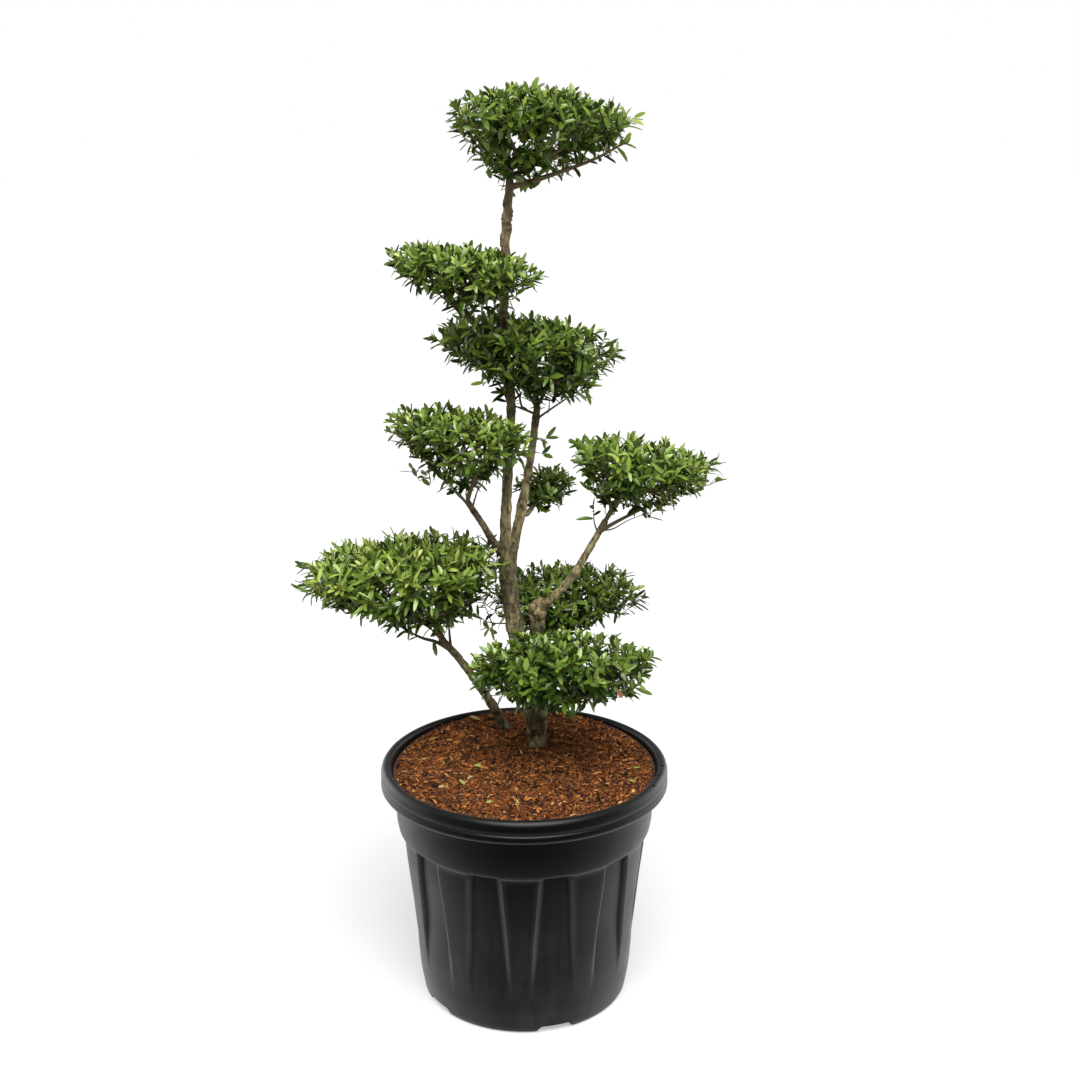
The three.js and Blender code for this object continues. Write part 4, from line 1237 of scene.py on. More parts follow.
# Along a shoot from its tip: distance back, spread from the shoot in degrees, and share of full size
LEAF_PLACES = (
    (0, 16, 0.5), (1.5, 30, 0.7), (4.5, 42, 0.86), (8, 51, 0.97), (12, 58, 1), (16.5, 63, 1), (21, 67, 1),
    (26, 70, 0.98), (31, 72, 0.95), (36, 74, 0.92), (42, 76, 0.88), (48, 78, 0.85),
)
LONG_PLACES = LEAF_PLACES + (
    (57, 78, 0.9), (67, 78, 0.9), (78, 80, 0.9), (90, 80, 0.9), (103, 82, 0.85), (117, 82, 0.8)
)
# The same for the few leaves of a single twig
FEW_PLACES = (
    (0, 14, 1), (3, 62, 0.95), (8, 66, 1), (14, 68, 0.95), (20, 70, 0.9), (27, 70, 0.9), (34, 70, 0.85)
)
# Twigs that stand out of the clouds: path, radius at the foot and number of leaves at the tip
SPRIGS = {
    "top": (
        (((139, 36, 1467), (154, 32, 1488), (166, 29, 1503), (175, 26, 1511)), 1.6, 6),
        (((0, 36, 1524), (8, 33, 1541), (14, 31, 1552)), 1.3, 5),
        (((-19, 37, 1404), (20, 27, 1415), (68, 18, 1431), (118, 12, 1450), (162, 10, 1474)), 6.4, 18),
    ),
    "upper_left": (
        (((-91, 8, 1199), (-118, 4, 1222), (-146, 0, 1247), (-193, -6, 1276)), 2.2, 10),
        (((-52, 27, 1169), (-50, 18, 1195), (-47, 10, 1218), (-44, 5, 1240)), 1.8, 10),
        (((-60, 22, 1175), (-66, 14, 1200), (-68, 8, 1222), (-70, 4, 1243)), 1.8, 10),
        (((-73, 16, 1184), (-84, 8, 1206), (-92, 2, 1226), (-98, -4, 1246)), 1.8, 9),
        (((-40, 35, 1158), (-36, 25, 1190), (-33, 16, 1215), (-31, 10, 1238)), 1.6, 9),
    ),
    "upper_centre": (
        (((-31, 41, 1136), (-24, 15, 1152), (-20, -2, 1170), (-17, -14, 1190)), 1.7, 13),
        (((-31, 41, 1140), (-42, 16, 1156), (-48, -4, 1174), (-52, -16, 1193)), 1.7, 13),
        (((-31, 41, 1146), (-60, 18, 1160), (-78, 2, 1174), (-90, -10, 1188)), 1.8, 13),
        (((-31, 41, 1130), (-70, 22, 1142), (-98, 8, 1158), (-120, -2, 1174)), 1.8, 12),
        (((20, 75, 985), (29, 71, 984), (40, 68, 987)), 1.2, 4),
        (((19, 75, 962), (26, 68, 962), (33, 64, 960)), 1, 2),
        (((-25, 41, 1062), (-45, 30, 1092), (-75, 25, 1132), (-110, 22, 1176)), 2.0, 9),
        (((-43, 31, 1089), (-54, 24, 1094), (-64, 18, 1092)), 1.0, 3),
        (((20, 76, 1018), (54, 60, 1045), (86, 50, 1068), (111, 44, 1083)), 2.6, 9),
    ),
    "mid_left": (
        (((-87, 10, 878), (-115, 8, 912), (-143, -4, 949), (-178, -14, 977)), 2.8, 11),
        (((-87, 10, 878), (-76, 10, 915), (-66, 4, 947)), 2.3, 6),
    ),
    "right": (
        (((128, 0, 842), (148, -4, 856), (194, -12, 883), (242, -20, 909), (291, -26, 937)), 4, 17),
        (((128, 0, 844), (148, -10, 849), (174, -20, 867), (207, -28, 882)), 1.7, 0),
        (((125, 1, 838), (118, 0, 859), (117, -4, 884)), 2.2, 5),
    ),
    "lower_left": (
        (((-130, 75, 604), (-156, 68, 622), (-180, 58, 633), (-222, 42, 663)), 4.6, 16),
        (((-130, 75, 606), (-159, 66, 641), (-175, 58, 666)), 4, 6),
        (((-130, 75, 604), (-133, 78, 644), (-133, 80, 668)), 3.8, 5),
    ),
    "lower_rear": (
        (((-18, 45, 664), (-57, 60, 660), (-71, 72, 661), (-87, 84, 668), (-103, 94, 680)), 1.7, 12),
        (((-57, 60, 660), (-70, 76, 688), (-82, 88, 712)), 1.3, 10),
        (((-50, 57, 660), (-58, 74, 648), (-66, 88, 636)), 1.2, 8),
    ),
    "lower_front": (
        (((118, -128, 650), (138, -141, 643), (149, -150, 630), (152, -153, 620)), 1.1, 3),
    ),
}
# A sprig whose foot lies this far from the nearest wood is led back to it
SPRIG_JOIN = (12, 40)
SPRIG_STEP = 9
SPRIG_TAPER = 0.72
# A sprig at least this thick has old bark
OLD_SPRIG = 2
BERRIES = {"top": ((119, 10, 1450), (131, 10, 1457)), "right": ((207, -28, 882),)}
BERRY_RADIUS = 3.1
BERRY_STALK = 3
WITHERED_AT = {"lower_front": ((151, -152, 616),), "lower_left": ((-182, -60, 810),)}
# A twig thicker than this is woody, with more sides
WOODY = 1.8
# Tint of the shine on the leaves
GLINT = (0.88, 1, 0.74)
DEEP, MIDDLE, FRESH, YOUNG, UNDER, UNDER_YOUNG, WITHERED = range(7)
# How ripe a leaf is at most for each tone, on the dome and elsewhere; riper ones are deep. Leaves elsewhere,
# inside and under a cloud, get darker tones sooner, as older leaves and painted shade
DOME_TONES = ((0.14, YOUNG), (0.52, FRESH), (0.95, MIDDLE))
SHADED_INNER_TONES = ((0.2, FRESH), (0.62, MIDDLE))


def repeatable(seed):
    """Repeatable random numbers from 0 to 1, the same ones that the solids grow from."""
    limit = 0xFFFFFFFF
    state = seed & limit

    def draw():
        nonlocal state
        state = (state + 0x6D2B79F5) & limit
        mixed = ((state ^ (state >> 15)) * (1 | state)) & limit
        mixed = ((mixed + (((mixed ^ (mixed >> 7)) * (61 | mixed)) & limit)) & limit) ^ mixed
        return ((mixed ^ (mixed >> 14)) & limit) / 4294967296

    return draw


def wobble_at(cloud, turn):
    """The waviness of a cloud's outline as seen from above."""
    return 1 + WOBBLE * (np.sin(3 * turn + cloud.seed) + np.sin(5 * turn + 2 * cloud.seed))


def level_in(cloud, spots):
    """Distance from the middle of a cloud's ring in shares of its own size, 1 on its surface."""
    offset = np.asarray(spots, float) - np.array(cloud.centre, float)
    x, y = offset[..., 0], offset[..., 1]
    z = offset[..., 2] - cloud.lean * x
    ring = np.hypot(x / cloud.half[0], y / cloud.half[1]) / wobble_at(cloud, np.arctan2(y, x))
    above = z > 0
    power = np.where(above, DOME_POWER, cloud.under)
    height = np.where(above, z / cloud.rise, -z / cloud.drop)
    return (ring**power + height**power) ** (1 / power)


def point_in(cloud, ring, turn, level, above, power=None):
    """The point of a cloud at a share of its ring, a turn and a level, above the ring or below it."""
    power = power or (DOME_POWER if above else cloud.under)
    height = max(0.0, 1 - ring**power) ** (1 / power)
    wobble = wobble_at(cloud, turn)
    x = level * ring * wobble * math.cos(turn) * cloud.half[0]
    y = level * ring * wobble * math.sin(turn) * cloud.half[1]
    z = cloud.lean * x + level * height * (cloud.rise if above else -cloud.drop)
    return np.array([x, y, z]) + np.array(cloud.centre, float)


def in_own_space(cloud, spots, limit=1.0):
    """Whether places lie in a cloud and well outside all the others."""
    own = level_in(cloud, spots)
    inside = own < limit
    least = np.maximum(own, SPACE_FLOOR) + SPACE_MARGIN
    for other in CLOUDS:
        if other is not cloud:
            inside &= level_in(other, spots) > least
    return inside


def limb_stretches():
    """Short stretches of all limbs with their radii, for keeping foliage clear of them."""
    rows = []
    for name, limb in LIMBS.items():
        line = LINES[name]
        count = math.ceil(line.length / STRETCH_LENGTH)
        for index in range(count):
            swelling = BURL_SWELLING if name == "right_stem" and index > BURL_FROM * count else 0
            start, end = line.at(index / count), line.at((index + 1) / count)
            rows.append((name, start, end - start, radius_of(limb, index / count) + swelling))
    return rows


STRETCHES = limb_stretches()
STRETCH_NAMES = np.array([row[0] for row in STRETCHES])
STRETCH_STARTS = np.array([row[1] for row in STRETCHES])
STRETCH_SPANS = np.array([row[2] for row in STRETCHES])
STRETCH_RADII = np.array([row[3] for row in STRETCHES])


def clear_of_limbs(spots, distance, exempt=None):
    """Whether places keep a distance from all limbs but the exempt one."""
    kept = STRETCH_NAMES != exempt
    starts, spans, radii = STRETCH_STARTS[kept], STRETCH_SPANS[kept], STRETCH_RADII[kept]
    offset = np.atleast_2d(spots)[:, None] - starts[None]
    share = np.clip(np.sum(offset * spans, 2) / np.sum(spans * spans, 1), 0, 1)
    gaps = np.linalg.norm(offset - share[..., None] * spans, axis=2) - radii
    return np.all(gaps > distance, axis=1)


class Branching:
    """The branching wood of one cloud: each node's place, heading, reach from the stem and load."""

    def __init__(self, cloud):
        self.cloud = cloud
        self.spots, self.headings, self.reaches, self.parents, self.loads = [], [], [], [], []
        self.branches = []

    def add(self, spot, heading, parent):
        reach = 0.0
        if parent is not None:
            reach = self.reaches[parent] + float(np.linalg.norm(spot - self.spots[parent]))
        self.spots.append(spot)
        self.headings.append(heading)
        self.reaches.append(reach)
        self.parents.append(parent)
        self.loads.append(0)
        return len(self.spots) - 1

    def bear(self, node, load=1):
        """Adds a load at a node and all the way down to the stem."""
        while node is not None:
            self.loads[node] += load
            node = self.parents[node]

    def grow(self, target, step, sources=None, sag=TWIG_SAG):
        """Grows a branch from the least costly node to the target, or nothing where it has no room."""
        index = np.arange(len(self.spots)) if sources is None else np.array(sources)
        columns = (self.spots, self.headings, self.reaches)
        spots, headings, reaches = (np.array(rows)[index] for rows in columns)
        way = target - spots
        length = np.linalg.norm(way, axis=1) + 1e-9
        turn = 1 - np.sum(way * headings, 1) / length
        best = int(np.argmin(length * (1 + TURN_COST * turn) + REACH_COST * reaches))
        start = int(index[best])
        span = float(length[best])
        origin = self.spots[start]
        middle = (origin + target) / 2 + self.headings[start] * TWIG_LEAD * span - UP * sag * span
        count = max(1, round(span / step))
        shares = np.arange(1, count + 1)[:, None] / count
        places = (1 - shares) ** 2 * origin + 2 * shares * (1 - shares) * middle + shares**2 * target
        ways = 2 * (1 - shares) * (middle - origin) + 2 * shares * (target - middle)
        exempt = self.cloud.bough if span < TWIG_STEP else None
        near = np.linalg.norm(places - self.spots[0], axis=1) < TWIG_STEP
        if not np.all(clear_of_limbs(places, TWIG_CLEARANCE, exempt)):
            return None
        if not np.all(near | in_own_space(self.cloud, places, TWIG_REACH)):
            return None
        branch = [start]
        for place, heading in zip(places, ways):
            branch.append(self.add(place, unit(heading), branch[-1]))
        return branch

    def line_of(self, branch):
        return np.array([self.spots[node] for node in branch])


def main_wood(cloud):
    """The stem, arms and sprays of a cloud, grown by the rule and the draws that its solid follows."""
    wood = Branching(cloud)
    draw = repeatable(cloud.seed)
    line = LINES[cloud.bough]
    heading = line.heading(1)
    root = wood.add(line.at(1) + heading * GAP, heading, None)
    tip = wood.add(wood.spots[root] + heading * STEM_LENGTH, heading, root)
    wood.branches.append([root, tip])
    for index in range(ARMS):
        target = point_in(cloud, ARM_RING, index * GOLDEN_ANGLE + cloud.seed, ARM_LEVEL, index % 2 == 0)
        arm = wood.grow(target, FINE_STEP, sources=[tip])
        if arm:
            wood.branches.append(arm)
    for index in range(cloud.sprays):
        above = index % 2 == 0
        rings = RIM_RINGS if above else UNDER_RINGS
        ring = rings[0] + (rings[1] - rings[0]) * (index + 0.5) / cloud.sprays
        target = point_in(cloud, ring, index * GOLDEN_ANGLE + 2 * cloud.seed, SPRAY_LEVEL, above)
        target = target + JITTER * (np.array([draw(), draw(), draw()]) - 0.5)
        spray = wood.grow(target, FINE_STEP)
        if spray:
            wood.branches.append(spray)
    return wood


def shoot_targets(cloud, root, count, random):
    """Where the leafy shoots of a cloud end and which way they point: on its dome, under it, inside."""
    centre = np.array(cloud.centre, float)
    height, slope, sag, bare = COVER.get(cloud.name, USUAL_COVER)
    below, inner = round(count * BELOW_SHARE), round(count * INNER_SHARE)
    groups = (("dome", count - below - inner), ("below", below), ("inner", inner))
    targets = []
    for group, total in groups:
        for number in range(total):
            turn = number * GOLDEN_ANGLE + cloud.seed + random.normal(scale=0.06)
            share = math.sqrt((number + 0.5) / total)
            dome = point_in(cloud, 0.985 * share, turn, 1 - abs(random.normal(scale=0.03)), True, LEAFY_POWER)
            rim = point_in(cloud, 1, turn, 0.98, False)
            dome[2] += (height - 1) * (dome[2] - rim[2]) + slope * (dome[0] - centre[0])
            rim[2] += slope * (rim[0] - centre[0])
            cone = root + (rim - root) * share - UP * sag * 4 * share * (1 - share)
            if group == "dome":
                surface = dome
            elif group == "below":
                covered = bare + (1 - bare) * share
                surface = root + (rim - root) * covered - UP * sag * 4 * share * (1 - share)
            else:
                surface = cone + (dome - cone) * random.uniform(0.15, 0.85)
            ripple = noise.noise(Vector(surface / RIPPLE_LENGTH))
            if ripple < GAP_BELOW:
                continue
            surface = centre + (surface - centre) * (1 + RIPPLE * ripple)
            outward = unit(np.array([math.cos(turn) * cloud.half[1], math.sin(turn) * cloud.half[0], 0.0]))
            radial = unit(surface - root)
            above = group == "dome"
            if above:
                way = 0.4 * radial + (0.1 + 0.65 * share**2) * outward + (0.85 - 0.5 * share**2) * UP
            elif group == "below":
                way = 0.8 * radial + 0.4 * outward + random.uniform(-0.3, 0.2) * UP
            else:
                way = radial + 0.3 * outward + random.uniform(-0.1, 0.5) * UP
            way = unit(way + 0.3 * random.normal(size=3))
            stand = LEAF_STAND - (random.uniform(*LONG_STANDS) if random.random() < LONG_SHARE else 0)
            targets.append((surface - way * stand, way, above, group == "inner"))
    order = random.permutation(len(targets))
    return [targets[index] for index in order]


def blade_triangles():
    """Triangles of a leaf's upper side and then of its under side."""
    left, right = (0, 2, 3, 4, 1), (0, 5, 6, 7, 1)
    triangles = []
    for middle, turned in (((0, 8, 9, 10, 1), False), ((0, 11, 12, 13, 1), True)):
        for outer, inner in ((right, middle), (middle, left)):
            for row in range(4):
                quad = (outer[row], outer[row + 1], inner[row + 1], inner[row])
                for face in ((quad[0], quad[1], quad[2]), (quad[0], quad[2], quad[3])):
                    if len(set(face)) == 3:
                        triangles.append(face[::-1] if turned else face)
    return np.array(triangles)


class LeafHeap:
    """Leaves that are gathered one by one and joined into one mesh."""

    # Shares of the length and of the width at three places between the foot and the tip
    STATIONS = ((0.16, 0.33), (0.49, 0.5), (0.83, 0.36))
    THICKNESS = 0.45
    # A leaf has 14 vertices: foot and tip, three on each edge, and three on its rib above and below
    VERTICES = 14
    ON_OUTLINE = 8

    def __init__(self):
        self.rows = []

    def add(self, foot, way, face, length, width, tone, under):
        self.rows.append((foot, way, face, length, width, tone, under))

    def wither(self, place):
        """Turns the leaf nearest to a place brown."""
        gaps = [float(np.linalg.norm(row[0] - place)) for row in self.rows]
        nearest = int(np.argmin(gaps))
        self.rows[nearest] = (*self.rows[nearest][:5], WITHERED, WITHERED)

    def kept(self, test):
        """Keeps the leaves whose middles and tips pass a test of place."""
        if not self.rows:
            return
        feet = np.array([row[0] for row in self.rows])
        ways = np.array([unit(row[1]) for row in self.rows])
        lengths = np.array([row[3] for row in self.rows])[:, None]
        good = test(feet + ways * lengths * 0.5, feet + ways * lengths)
        self.rows = [row for row, keep in zip(self.rows, good) if keep]

    def mesh(self, name, random):
        """Folds, curls and twists every leaf a little and joins them, with a sharp outline."""
        feet, ways, faces = (np.array([row[column] for row in self.rows]) for column in (0, 1, 2))
        lengths, widths = (np.array([row[column] for row in self.rows]) for column in (3, 4))
        tones, unders = (np.array([row[column] for row in self.rows]) for column in (5, 6))
        count = len(self.rows)
        ways = ways / np.linalg.norm(ways, axis=1, keepdims=True)
        sides = np.cross(faces, ways)
        sides /= np.linalg.norm(sides, axis=1, keepdims=True)
        normals = np.cross(ways, sides)
        curl = random.uniform(-0.06, 0.3, count)
        fold = random.uniform(0.12, 0.42, count)
        twist = random.normal(scale=0.06, size=count)
        local = np.zeros((count, self.VERTICES, 3))
        local[:, 1, 0] = 1
        for row, (place, width) in enumerate(self.STATIONS):
            local[:, [2 + row, 5 + row, 8 + row, 11 + row], 0] = place
            for column, sign in ((2, 1), (5, -1)):
                local[:, column + row, 1] = sign * width
        lengthwise = local[:, :, 0] * lengths[:, None]
        sideways = local[:, :, 1] * widths[:, None] + twist[:, None] * lengths[:, None] * local[:, :, 0] ** 2
        raised = fold[:, None] * np.abs(local[:, :, 1]) * widths[:, None]
        raised -= curl[:, None] * lengths[:, None] * local[:, :, 0] ** 2
        raised[:, 11:] -= self.THICKNESS
        vertices = (
            feet[:, None]
            + lengthwise[..., None] * ways[:, None]
            + sideways[..., None] * sides[:, None]
            + raised[..., None] * normals[:, None]
        )
        triangles = blade_triangles()
        half = len(triangles) // 2
        joined = (triangles[None] + self.VERTICES * np.arange(count)[:, None, None]).reshape(-1, 3)
        dealt = np.repeat(np.stack([tones, unders], 1), half, axis=1).ravel()
        mesh = mesh_of(name, vertices.reshape(-1, 3), joined, dealt)
        mesh.polygons.foreach_set("use_smooth", np.ones(len(joined), bool))
        ends = np.zeros(2 * len(mesh.edges), np.int32)
        mesh.edges.foreach_get("vertices", ends)
        outline = np.all(ends.reshape(-1, 2) % self.VERTICES < self.ON_OUTLINE, axis=1)
        sharp = mesh.attributes.new("sharp_edge", "BOOLEAN", "EDGE")
        sharp.data.foreach_set("value", outline)
        return mesh


def leaves_on(heap, cloud, spots, above, inner, random, size, places=LEAF_PLACES, front=0.0):
    """Hangs the leaves of one shoot on the last stretch of its twig."""
    back = spots[::-1]
    lengths = np.concatenate([[0], np.cumsum(np.linalg.norm(np.diff(back, axis=0), axis=1))])
    turned = random.uniform(0, 2 * math.pi)
    centre = np.array(cloud.centre, float)
    outer = above and not inner
    vigour = random.random()
    for index, (distance, spread, share) in enumerate(places):
        if distance > lengths[-1] or random.random() > (DOME_FILL if outer else SHELTERED_FILL):
            continue
        foot = np.array([np.interp(distance, lengths, back[:, axis]) for axis in range(3)])
        row = min(int(np.searchsorted(lengths, distance, side="right")), len(back) - 1)
        axis = unit(back[row - 1] - back[row])
        side = across(axis)
        angle = turned + index * GOLDEN_ANGLE
        around = side * math.cos(angle) + np.cross(axis, side) * math.sin(angle)
        opened = math.radians(spread + random.normal(scale=12))
        outward = foot - centre
        outward[2] = 0
        drawn = outward / (np.linalg.norm(outward) + 20)
        way = axis * math.cos(opened) + around * math.sin(opened) + 0.12 * drawn
        way = way + UP * (0.12 if above else random.uniform(-0.3, 0.1)) + random.normal(scale=0.18, size=3)
        face = axis * 0.5 + UP * 0.8 - 0.2 * around + 0.4 * drawn
        face = face + random.normal(scale=0.32, size=3) - np.array([0.0, front, 0.0])
        length = cloud.leaf[0] * share * size * random.normal(1, LENGTH_SPREAD)
        width = cloud.leaf[1] * (0.4 + 0.6 * share) * size * random.normal(1, WIDTH_SPREAD)
        ripe = 0.75 * index / len(LEAF_PLACES) + 0.45 * vigour + cloud.age + random.normal(scale=0.12)
        # Leaves inside and under the cloud get darker tones: older leaves and painted shade
        limits = DOME_TONES if outer else SHADED_INNER_TONES
        tone = next((tone for limit, tone in limits if ripe < limit), DEEP)
        heap.add(foot, unit(way), face, length, width, tone, UNDER_YOUNG if tone == YOUNG else UNDER)


def tube_rows(spots, radii, sides):
    """Vertices and triangles of a thin closed tube along a line."""
    reference = across(unit(spots[1] - spots[0]))
    rows = []
    turns = 2 * math.pi * np.arange(sides) / sides
    for index, spot in enumerate(spots):
        before, after = spots[max(0, index - 1)], spots[min(len(spots) - 1, index + 1)]
        way = unit(after - before)
        reference = unit(reference - way * np.dot(reference, way))
        up = np.cross(way, reference)
        rows.append(spot + radii[index] * (np.cos(turns)[:, None] * reference + np.sin(turns)[:, None] * up))
    vertices = np.concatenate(rows + [spots[:1], spots[-1:] + unit(spots[-1] - spots[-2]) * radii[-1]])
    triangles = []
    last = (len(spots) - 1) * sides
    for side in range(sides):
        other = (side + 1) % sides
        for row in range(len(spots) - 1):
            a, b = row * sides + side, row * sides + other
            triangles += [(a, b, b + sides), (a, b + sides, a + sides)]
        triangles.append((other, side, last + sides))
        triangles.append((last + side, last + other, last + sides + 1))
    return vertices, np.array(triangles)


class TwigHeap:
    """Twigs that are gathered one by one and joined into one mesh."""

    def __init__(self):
        self.vertices, self.triangles, self.tones = [], [], []
        self.count = 0

    def add(self, spots, radii, sides, tone):
        vertices, triangles = tube_rows(spots, radii, sides)
        self.vertices.append(vertices)
        self.triangles.append(triangles + self.count)
        self.tones.append(np.full(len(triangles), tone))
        self.count += len(vertices)

    def mesh(self, name):
        arrays = (np.concatenate(rows) for rows in (self.vertices, self.triangles, self.tones))
        mesh = mesh_of(name, *arrays)
        mesh.polygons.foreach_set("use_smooth", np.ones(len(mesh.polygons), bool))
        return mesh


def add_sprigs(cloud, wood, heap, twigs, random, size):
    """The single twigs that stand out of a cloud, with their leaves; returns their points."""
    spots = []
    for path, radius, count in SPRIGS.get(cloud.name, ()):
        nearest = min(wood.spots, key=lambda spot: float(np.linalg.norm(spot - path[0])))
        near = SPRIG_JOIN[0] < np.linalg.norm(nearest - path[0]) < SPRIG_JOIN[1]
        line = Line([tuple(nearest), *path] if near else path)
        rows = max(3, round(line.length / SPRIG_STEP))
        points = np.array([line.at(row / rows) for row in range(rows + 1)])
        radii = radius * (1 - SPRIG_TAPER * np.linspace(0, 1, rows + 1) ** 0.7)
        twigs.add(points, radii, 6, 1 if radius < OLD_SPRIG else 0)
        places = LONG_PLACES[:count] if count > 7 else FEW_PLACES[:count]
        leaves_on(heap, cloud, points, True, count < 6, random, size, places, front=0.9)
        spots.extend(points[2:])
    return spots


def build_berries(seats):
    """Black berries on short stalks at the twigs that bear them."""
    bm = bmesh.new()
    for place, way in seats:
        centre = place + way * (BERRY_STALK + BERRY_RADIUS)
        move = Matrix.Translation(centre)
        bmesh.ops.create_icosphere(bm, subdivisions=2, radius=BERRY_RADIUS, matrix=move)
        turn = Vector(way).to_track_quat("Z", "Y").to_matrix().to_4x4()
        stalk = Matrix.Translation(place + way * BERRY_STALK / 2) @ turn
        bmesh.ops.create_cone(
            bm, cap_ends=True, segments=8, radius1=0.6, radius2=0.8, depth=BERRY_STALK + 2, matrix=stalk
        )
    mesh = finished(bm, "berries")
    smooth(mesh, 50)
    piece_of("berries", mesh, [plain_material("berry_black", (0.006, 0.006, 0.008), 0.25, 0.3)])


def leaf_materials(leaves):
    """The tones of the leaves, in the order of their numbers."""
    under = [value * 0.72 + 0.003 for value in leaves.fresh]
    under_young = [value * 0.75 + 0.004 for value in leaves.young]
    return [
        plain_material("leaf_deep", leaves.deep, 0.34, specular=0.3, tint=GLINT),
        plain_material("leaf_middle", leaves.middle, 0.3, specular=0.55, tint=GLINT),
        plain_material("leaf_fresh", leaves.fresh, 0.3, specular=0.58, tint=GLINT),
        plain_material("leaf_young", leaves.young, 0.34, specular=0.5, tint=GLINT),
        plain_material("leaf_under", under, 0.65, specular=0.15),
        plain_material("leaf_under_young", under_young, 0.65, specular=0.15),
        plain_material("leaf_withered", (0.27, 0.1, 0.03), 0.6),
    ]


def twig_materials():
    """Old grey wood, brown twigs and green shoots, in the order of their numbers."""
    return [
        plain_material("twig_old", (0.095, 0.070, 0.038), 0.85, specular=0.15),
        plain_material("twig_brown", (0.082, 0.052, 0.028), 0.75, specular=0.15),
        plain_material("twig_green", (0.135, 0.135, 0.035), 0.6, specular=0.2),
    ]


def grow_shoots(cloud, wood, count, heap, random, size):
    """Grows the leafy shoots of a cloud off its wood and hangs their leaves; returns their branches."""
    shoots = []
    for tip, way, above, inner in shoot_targets(cloud, wood.spots[1], count, random):
        length = SHOOT_LENGTH * random.uniform(0.7, 1.15)
        if not in_own_space(cloud, tip + way * LEAF_STAND, LEAF_REACH):
            continue
        branch = wood.grow(tip - way * length, FINE_STEP, sag=TWIG_SAG * 0.6)
        if branch is None:
            continue
        steps = max(2, round(length / SHOOT_STEP))
        for step in range(1, steps + 1):
            bent = tip - way * length * (1 - step / steps)
            bent = bent - UP * 1.5 * math.sin(math.pi * step / steps)
            branch.append(wood.add(bent, way, branch[-1]))
        wood.bear(branch[-1])
        shoots.append(branch)
        leaves_on(heap, cloud, wood.line_of(branch), above, inner, random, size)

    def good(middles, tips):
        inside = in_own_space(cloud, tips, LEAF_REACH) & in_own_space(cloud, middles, LEAF_REACH - 0.02)
        return inside & clear_of_limbs(middles, 3) & clear_of_limbs(tips, 1.5)

    heap.kept(good)
    return shoots


def add_wood(cloud, wood, shoots, twigs, random):
    """Adds the branches that bear shoots, thicker with their load, and the stem out of the bough."""
    girth = radius_of(LIMBS[cloud.bough], 1) - 0.2
    for branch in wood.branches + shoots:
        if wood.loads[branch[-1]] == 0:
            continue
        spots = wood.line_of(branch)
        radii = np.array([min(girth, TIP_RADIUS * wood.loads[node] ** GIRTH_POWER) for node in branch])
        radii[0] = radii[1]
        stem = branch[:2] == [0, 1]
        if stem:
            radii[:] = girth
            spots[0] = spots[0] - wood.headings[0] * STEM_SUNK
        woody = radii.max() > WOODY
        sides = 10 if stem else (6 if woody else 4)
        tone = 0 if woody else (1 if random.random() < 0.65 else 2)
        twigs.add(spots, radii, sides, tone)


def build_cloud(cloud, leaves, leaf_tones, twig_tones):
    """Builds one cloud's leaves and twigs; returns the places of its berries and the ways they hang."""
    random = np.random.default_rng(cloud.seed)
    wood = main_wood(cloud)
    area = math.pi * cloud.half[0] * cloud.half[1] / 1e4
    count = round(leaves.shoots * area * (1))
    heap, twigs = LeafHeap(), TwigHeap()
    shoots = grow_shoots(cloud, wood, count, heap, random, leaves.size)
    spots = add_sprigs(cloud, wood, heap, twigs, random, leaves.size)
    spots += [wood.spots[branch[-2]] for branch in shoots]
    seats = []
    for place in BERRIES.get(cloud.name, ()):
        seat = min(spots, key=lambda spot: float(np.linalg.norm(spot - place)))
        seats.append((seat, unit(np.array([random.normal() * 0.4, -0.5, -1.0]))))
    for place in WITHERED_AT.get(cloud.name, ()):
        heap.wither(place)
    add_wood(cloud, wood, shoots, twigs, random)
    leafy, woody = "leaves_" + cloud.name, "twigs_" + cloud.name
    piece_of(leafy, heap.mesh(leafy, random), leaf_tones, ["foliage_" + cloud.name])
    piece_of(woody, twigs.mesh(woody), twig_tones)
    return seats


def build_foliage():
    leaves = settings("leaves")
    leaf_tones, twig_tones = leaf_materials(leaves), twig_materials()
    seats = []
    for cloud in CLOUDS:
        seats += build_cloud(cloud, leaves, leaf_tones, twig_tones)
    build_berries(seats)


# Stage


FLOOR_RADIUS = 40000
FLOOR_GAP = 0.2
# Place and size of the light panel on the right, in metres, and the direction it shines in
PANEL_PLACE = (2.4, 0.9, 0.95)
PANEL_SIZE = (3.0, 1.8)
PANEL_AIM = (-2.4, -0.9, -0.5)
SOFTBOX_AIM = (-0.06, 0.6, -1)
SOFTBOX_SPREAD = 50
# How far right of the pot's axis the camera stands, in metres, and its lens in millimetres
EYE_OFFSET = 0.0274
LENS = 50
SENSOR = 36


def lay_floor():
    """A wide pale floor that glows a little, so that it merges with the white behind."""
    bm = bmesh.new()
    bmesh.ops.create_circle(bm, cap_ends=True, segments=96, radius=FLOOR_RADIUS)
    bmesh.ops.translate(bm, vec=(0, 0, -FLOOR_GAP), verts=bm.verts)
    mesh = finished(bm, "floor")
    material = plain_material("floor", (0.36, 0.36, 0.36), 0.9, specular=0.05)
    shader = material.node_tree.nodes["Principled BSDF"]
    shader.inputs["Emission Color"].default_value = (1, 1, 1, 1)
    shader.inputs["Emission Strength"].default_value = 0.42
    mesh.materials.append(material)
    floor = bpy.data.objects.new("floor", mesh)
    bpy.context.scene.collection.objects.link(floor)


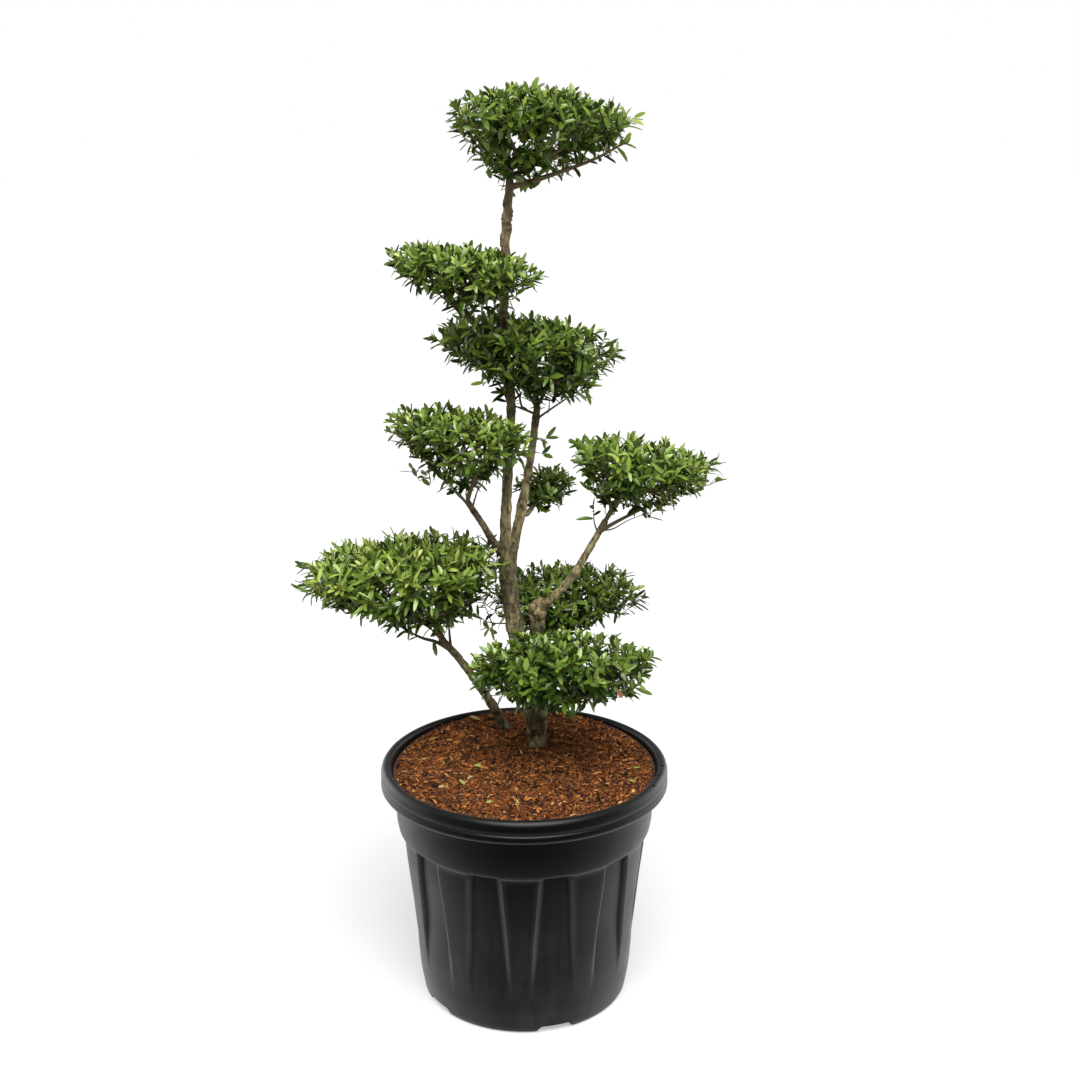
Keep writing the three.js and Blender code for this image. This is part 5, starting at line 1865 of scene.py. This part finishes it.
def set_daylight(strength):
    """Even light from all round, which the camera sees as white."""
    world = bpy.data.worlds.new("daylight")
    bpy.context.scene.world = world
    world.use_nodes = True
    tree = world.node_tree
    seen = tree.nodes.new("ShaderNodeLightPath").outputs["Is Camera Ray"]
    background = tree.nodes["Background"]
    background.inputs["Color"].default_value = (1, 1, 1, 1)
    tree.links.new(ranged(tree, seen, 0, 1, strength, 1.0), background.inputs["Strength"])


def hang_light(name, kind, aim, place=(0, 0, 0)):
    """A light at a place that shines along a direction; returns the lamp and its light."""
    light = bpy.data.lights.new(name, kind)
    lamp = bpy.data.objects.new(name, light)
    lamp.location = place
    lamp.rotation_euler = Vector(aim).to_track_quat("-Z", "Y").to_euler()
    bpy.context.scene.collection.objects.link(lamp)
    return lamp, light


def build_stage():
    stage = settings("stage")
    lay_floor()
    set_daylight(stage.daylight)
    for side in (-1, 1):
        aim, place = ((values[0] * side, *values[1:]) for values in (PANEL_AIM, PANEL_PLACE))
        lamp, panel = hang_light("side_panel", "AREA", aim, place)
        panel.shape = "RECTANGLE"
        panel.size, panel.size_y = PANEL_SIZE
        panel.energy = stage.side_panels
        lamp.visible_camera = False
    sun = hang_light("softbox", "SUN", SOFTBOX_AIM)[1]
    sun.energy = stage.softbox
    sun.angle = math.radians(SOFTBOX_SPREAD)
    bpy.context.scene.view_settings.view_transform = "Standard"

    camera = bpy.data.cameras.new("camera")
    camera.lens = LENS
    camera.sensor_width = SENSOR
    camera.clip_end = 200
    eye = bpy.data.objects.new("camera", camera)
    eye.location = (EYE_OFFSET, -stage.distance, stage.eye_height)
    eye.rotation_euler = (math.pi / 2 - stage.tilt, 0, 0)
    bpy.context.scene.collection.objects.link(eye)
    bpy.context.scene.camera = eye


# Operators and panel


class HOLLY_OT_pot(bpy.types.Operator):
    """Spin the fluted pot with its rolled rim and cut its drainage notches"""

    bl_idname = "holly.pot"
    bl_label = "Pot"

    def execute(self, context):
        build_pot()
        return {"FINISHED"}


class HOLLY_OT_soil(bpy.types.Operator):
    """Mound the soil and cover it with bark chips, fibres and fallen leaves"""

    bl_idname = "holly.soil"
    bl_label = "Soil"

    def execute(self, context):
        build_soil()
        return {"FINISHED"}


class HOLLY_OT_bark(bpy.types.Operator):
    """Fuse the trunk, stems and boughs into one skin and raise the bark's relief"""

    bl_idname = "holly.bark"
    bl_label = "Bark"

    def execute(self, context):
        build_bark()
        return {"FINISHED"}


class HOLLY_OT_foliage(bpy.types.Operator):
    """Grow the twigs and leaves of every cloud on from its bough"""

    bl_idname = "holly.foliage"
    bl_label = "Foliage"

    def execute(self, context):
        build_foliage()
        return {"FINISHED"}


class HOLLY_OT_stage(bpy.types.Operator):
    """Set the pale floor, the soft light and the camera"""

    bl_idname = "holly.stage"
    bl_label = "Stage"

    def execute(self, context):
        build_stage()
        return {"FINISHED"}


class HOLLY_PT_panel(bpy.types.Panel):
    """Everything that builds the potted holly"""

    bl_label = "Potted Holly"
    bl_idname = "HOLLY_PT_panel"
    bl_space_type = "VIEW_3D"
    bl_region_type = "UI"
    bl_category = "Holly"

    def draw(self, context):
        for part, fields, operator in PANEL_ROWS:
            box = self.layout.box()
            for field in fields:
                box.prop(getattr(context.scene, "holly_" + part), field)
            box.operator(operator)


PANEL_ROWS = (
    ("pot", ("height", "rim_radius", "flutes", "flute_depth", "colour", "dust"), "holly.pot"),
    ("soil", ("chips", "fibres", "colour"), "holly.soil"),
    ("bark", ("relief", "fineness", "colour", "dark"), "holly.bark"),
    ("leaves", ("shoots", "size", "deep", "middle", "fresh", "young"), "holly.foliage"),
    ("stage", ("distance", "eye_height", "tilt", "daylight", "softbox", "side_panels"), "holly.stage"),
)
SETTINGS = {
    "pot": HollyPotSettings,
    "soil": HollySoilSettings,
    "bark": HollyBarkSettings,
    "leaves": HollyLeafSettings,
    "stage": HollyStageSettings,
}
CLASSES = (
    *SETTINGS.values(),
    HOLLY_OT_pot,
    HOLLY_OT_soil,
    HOLLY_OT_bark,
    HOLLY_OT_foliage,
    HOLLY_OT_stage,
    HOLLY_PT_panel,
)


def register():
    for item in CLASSES:
        bpy.utils.register_class(item)
    for part, group in SETTINGS.items():
        setattr(bpy.types.Scene, "holly_" + part, bpy.props.PointerProperty(type=group))


def unregister():
    for part in SETTINGS:
        delattr(bpy.types.Scene, "holly_" + part)
    for item in reversed(CLASSES):
        bpy.utils.unregister_class(item)


def main():
    register()
    bpy.ops.holly.pot()
    bpy.ops.holly.soil()
    bpy.ops.holly.bark()
    bpy.ops.holly.foliage()
    bpy.ops.holly.stage()


if __name__ == "__main__":
    main()
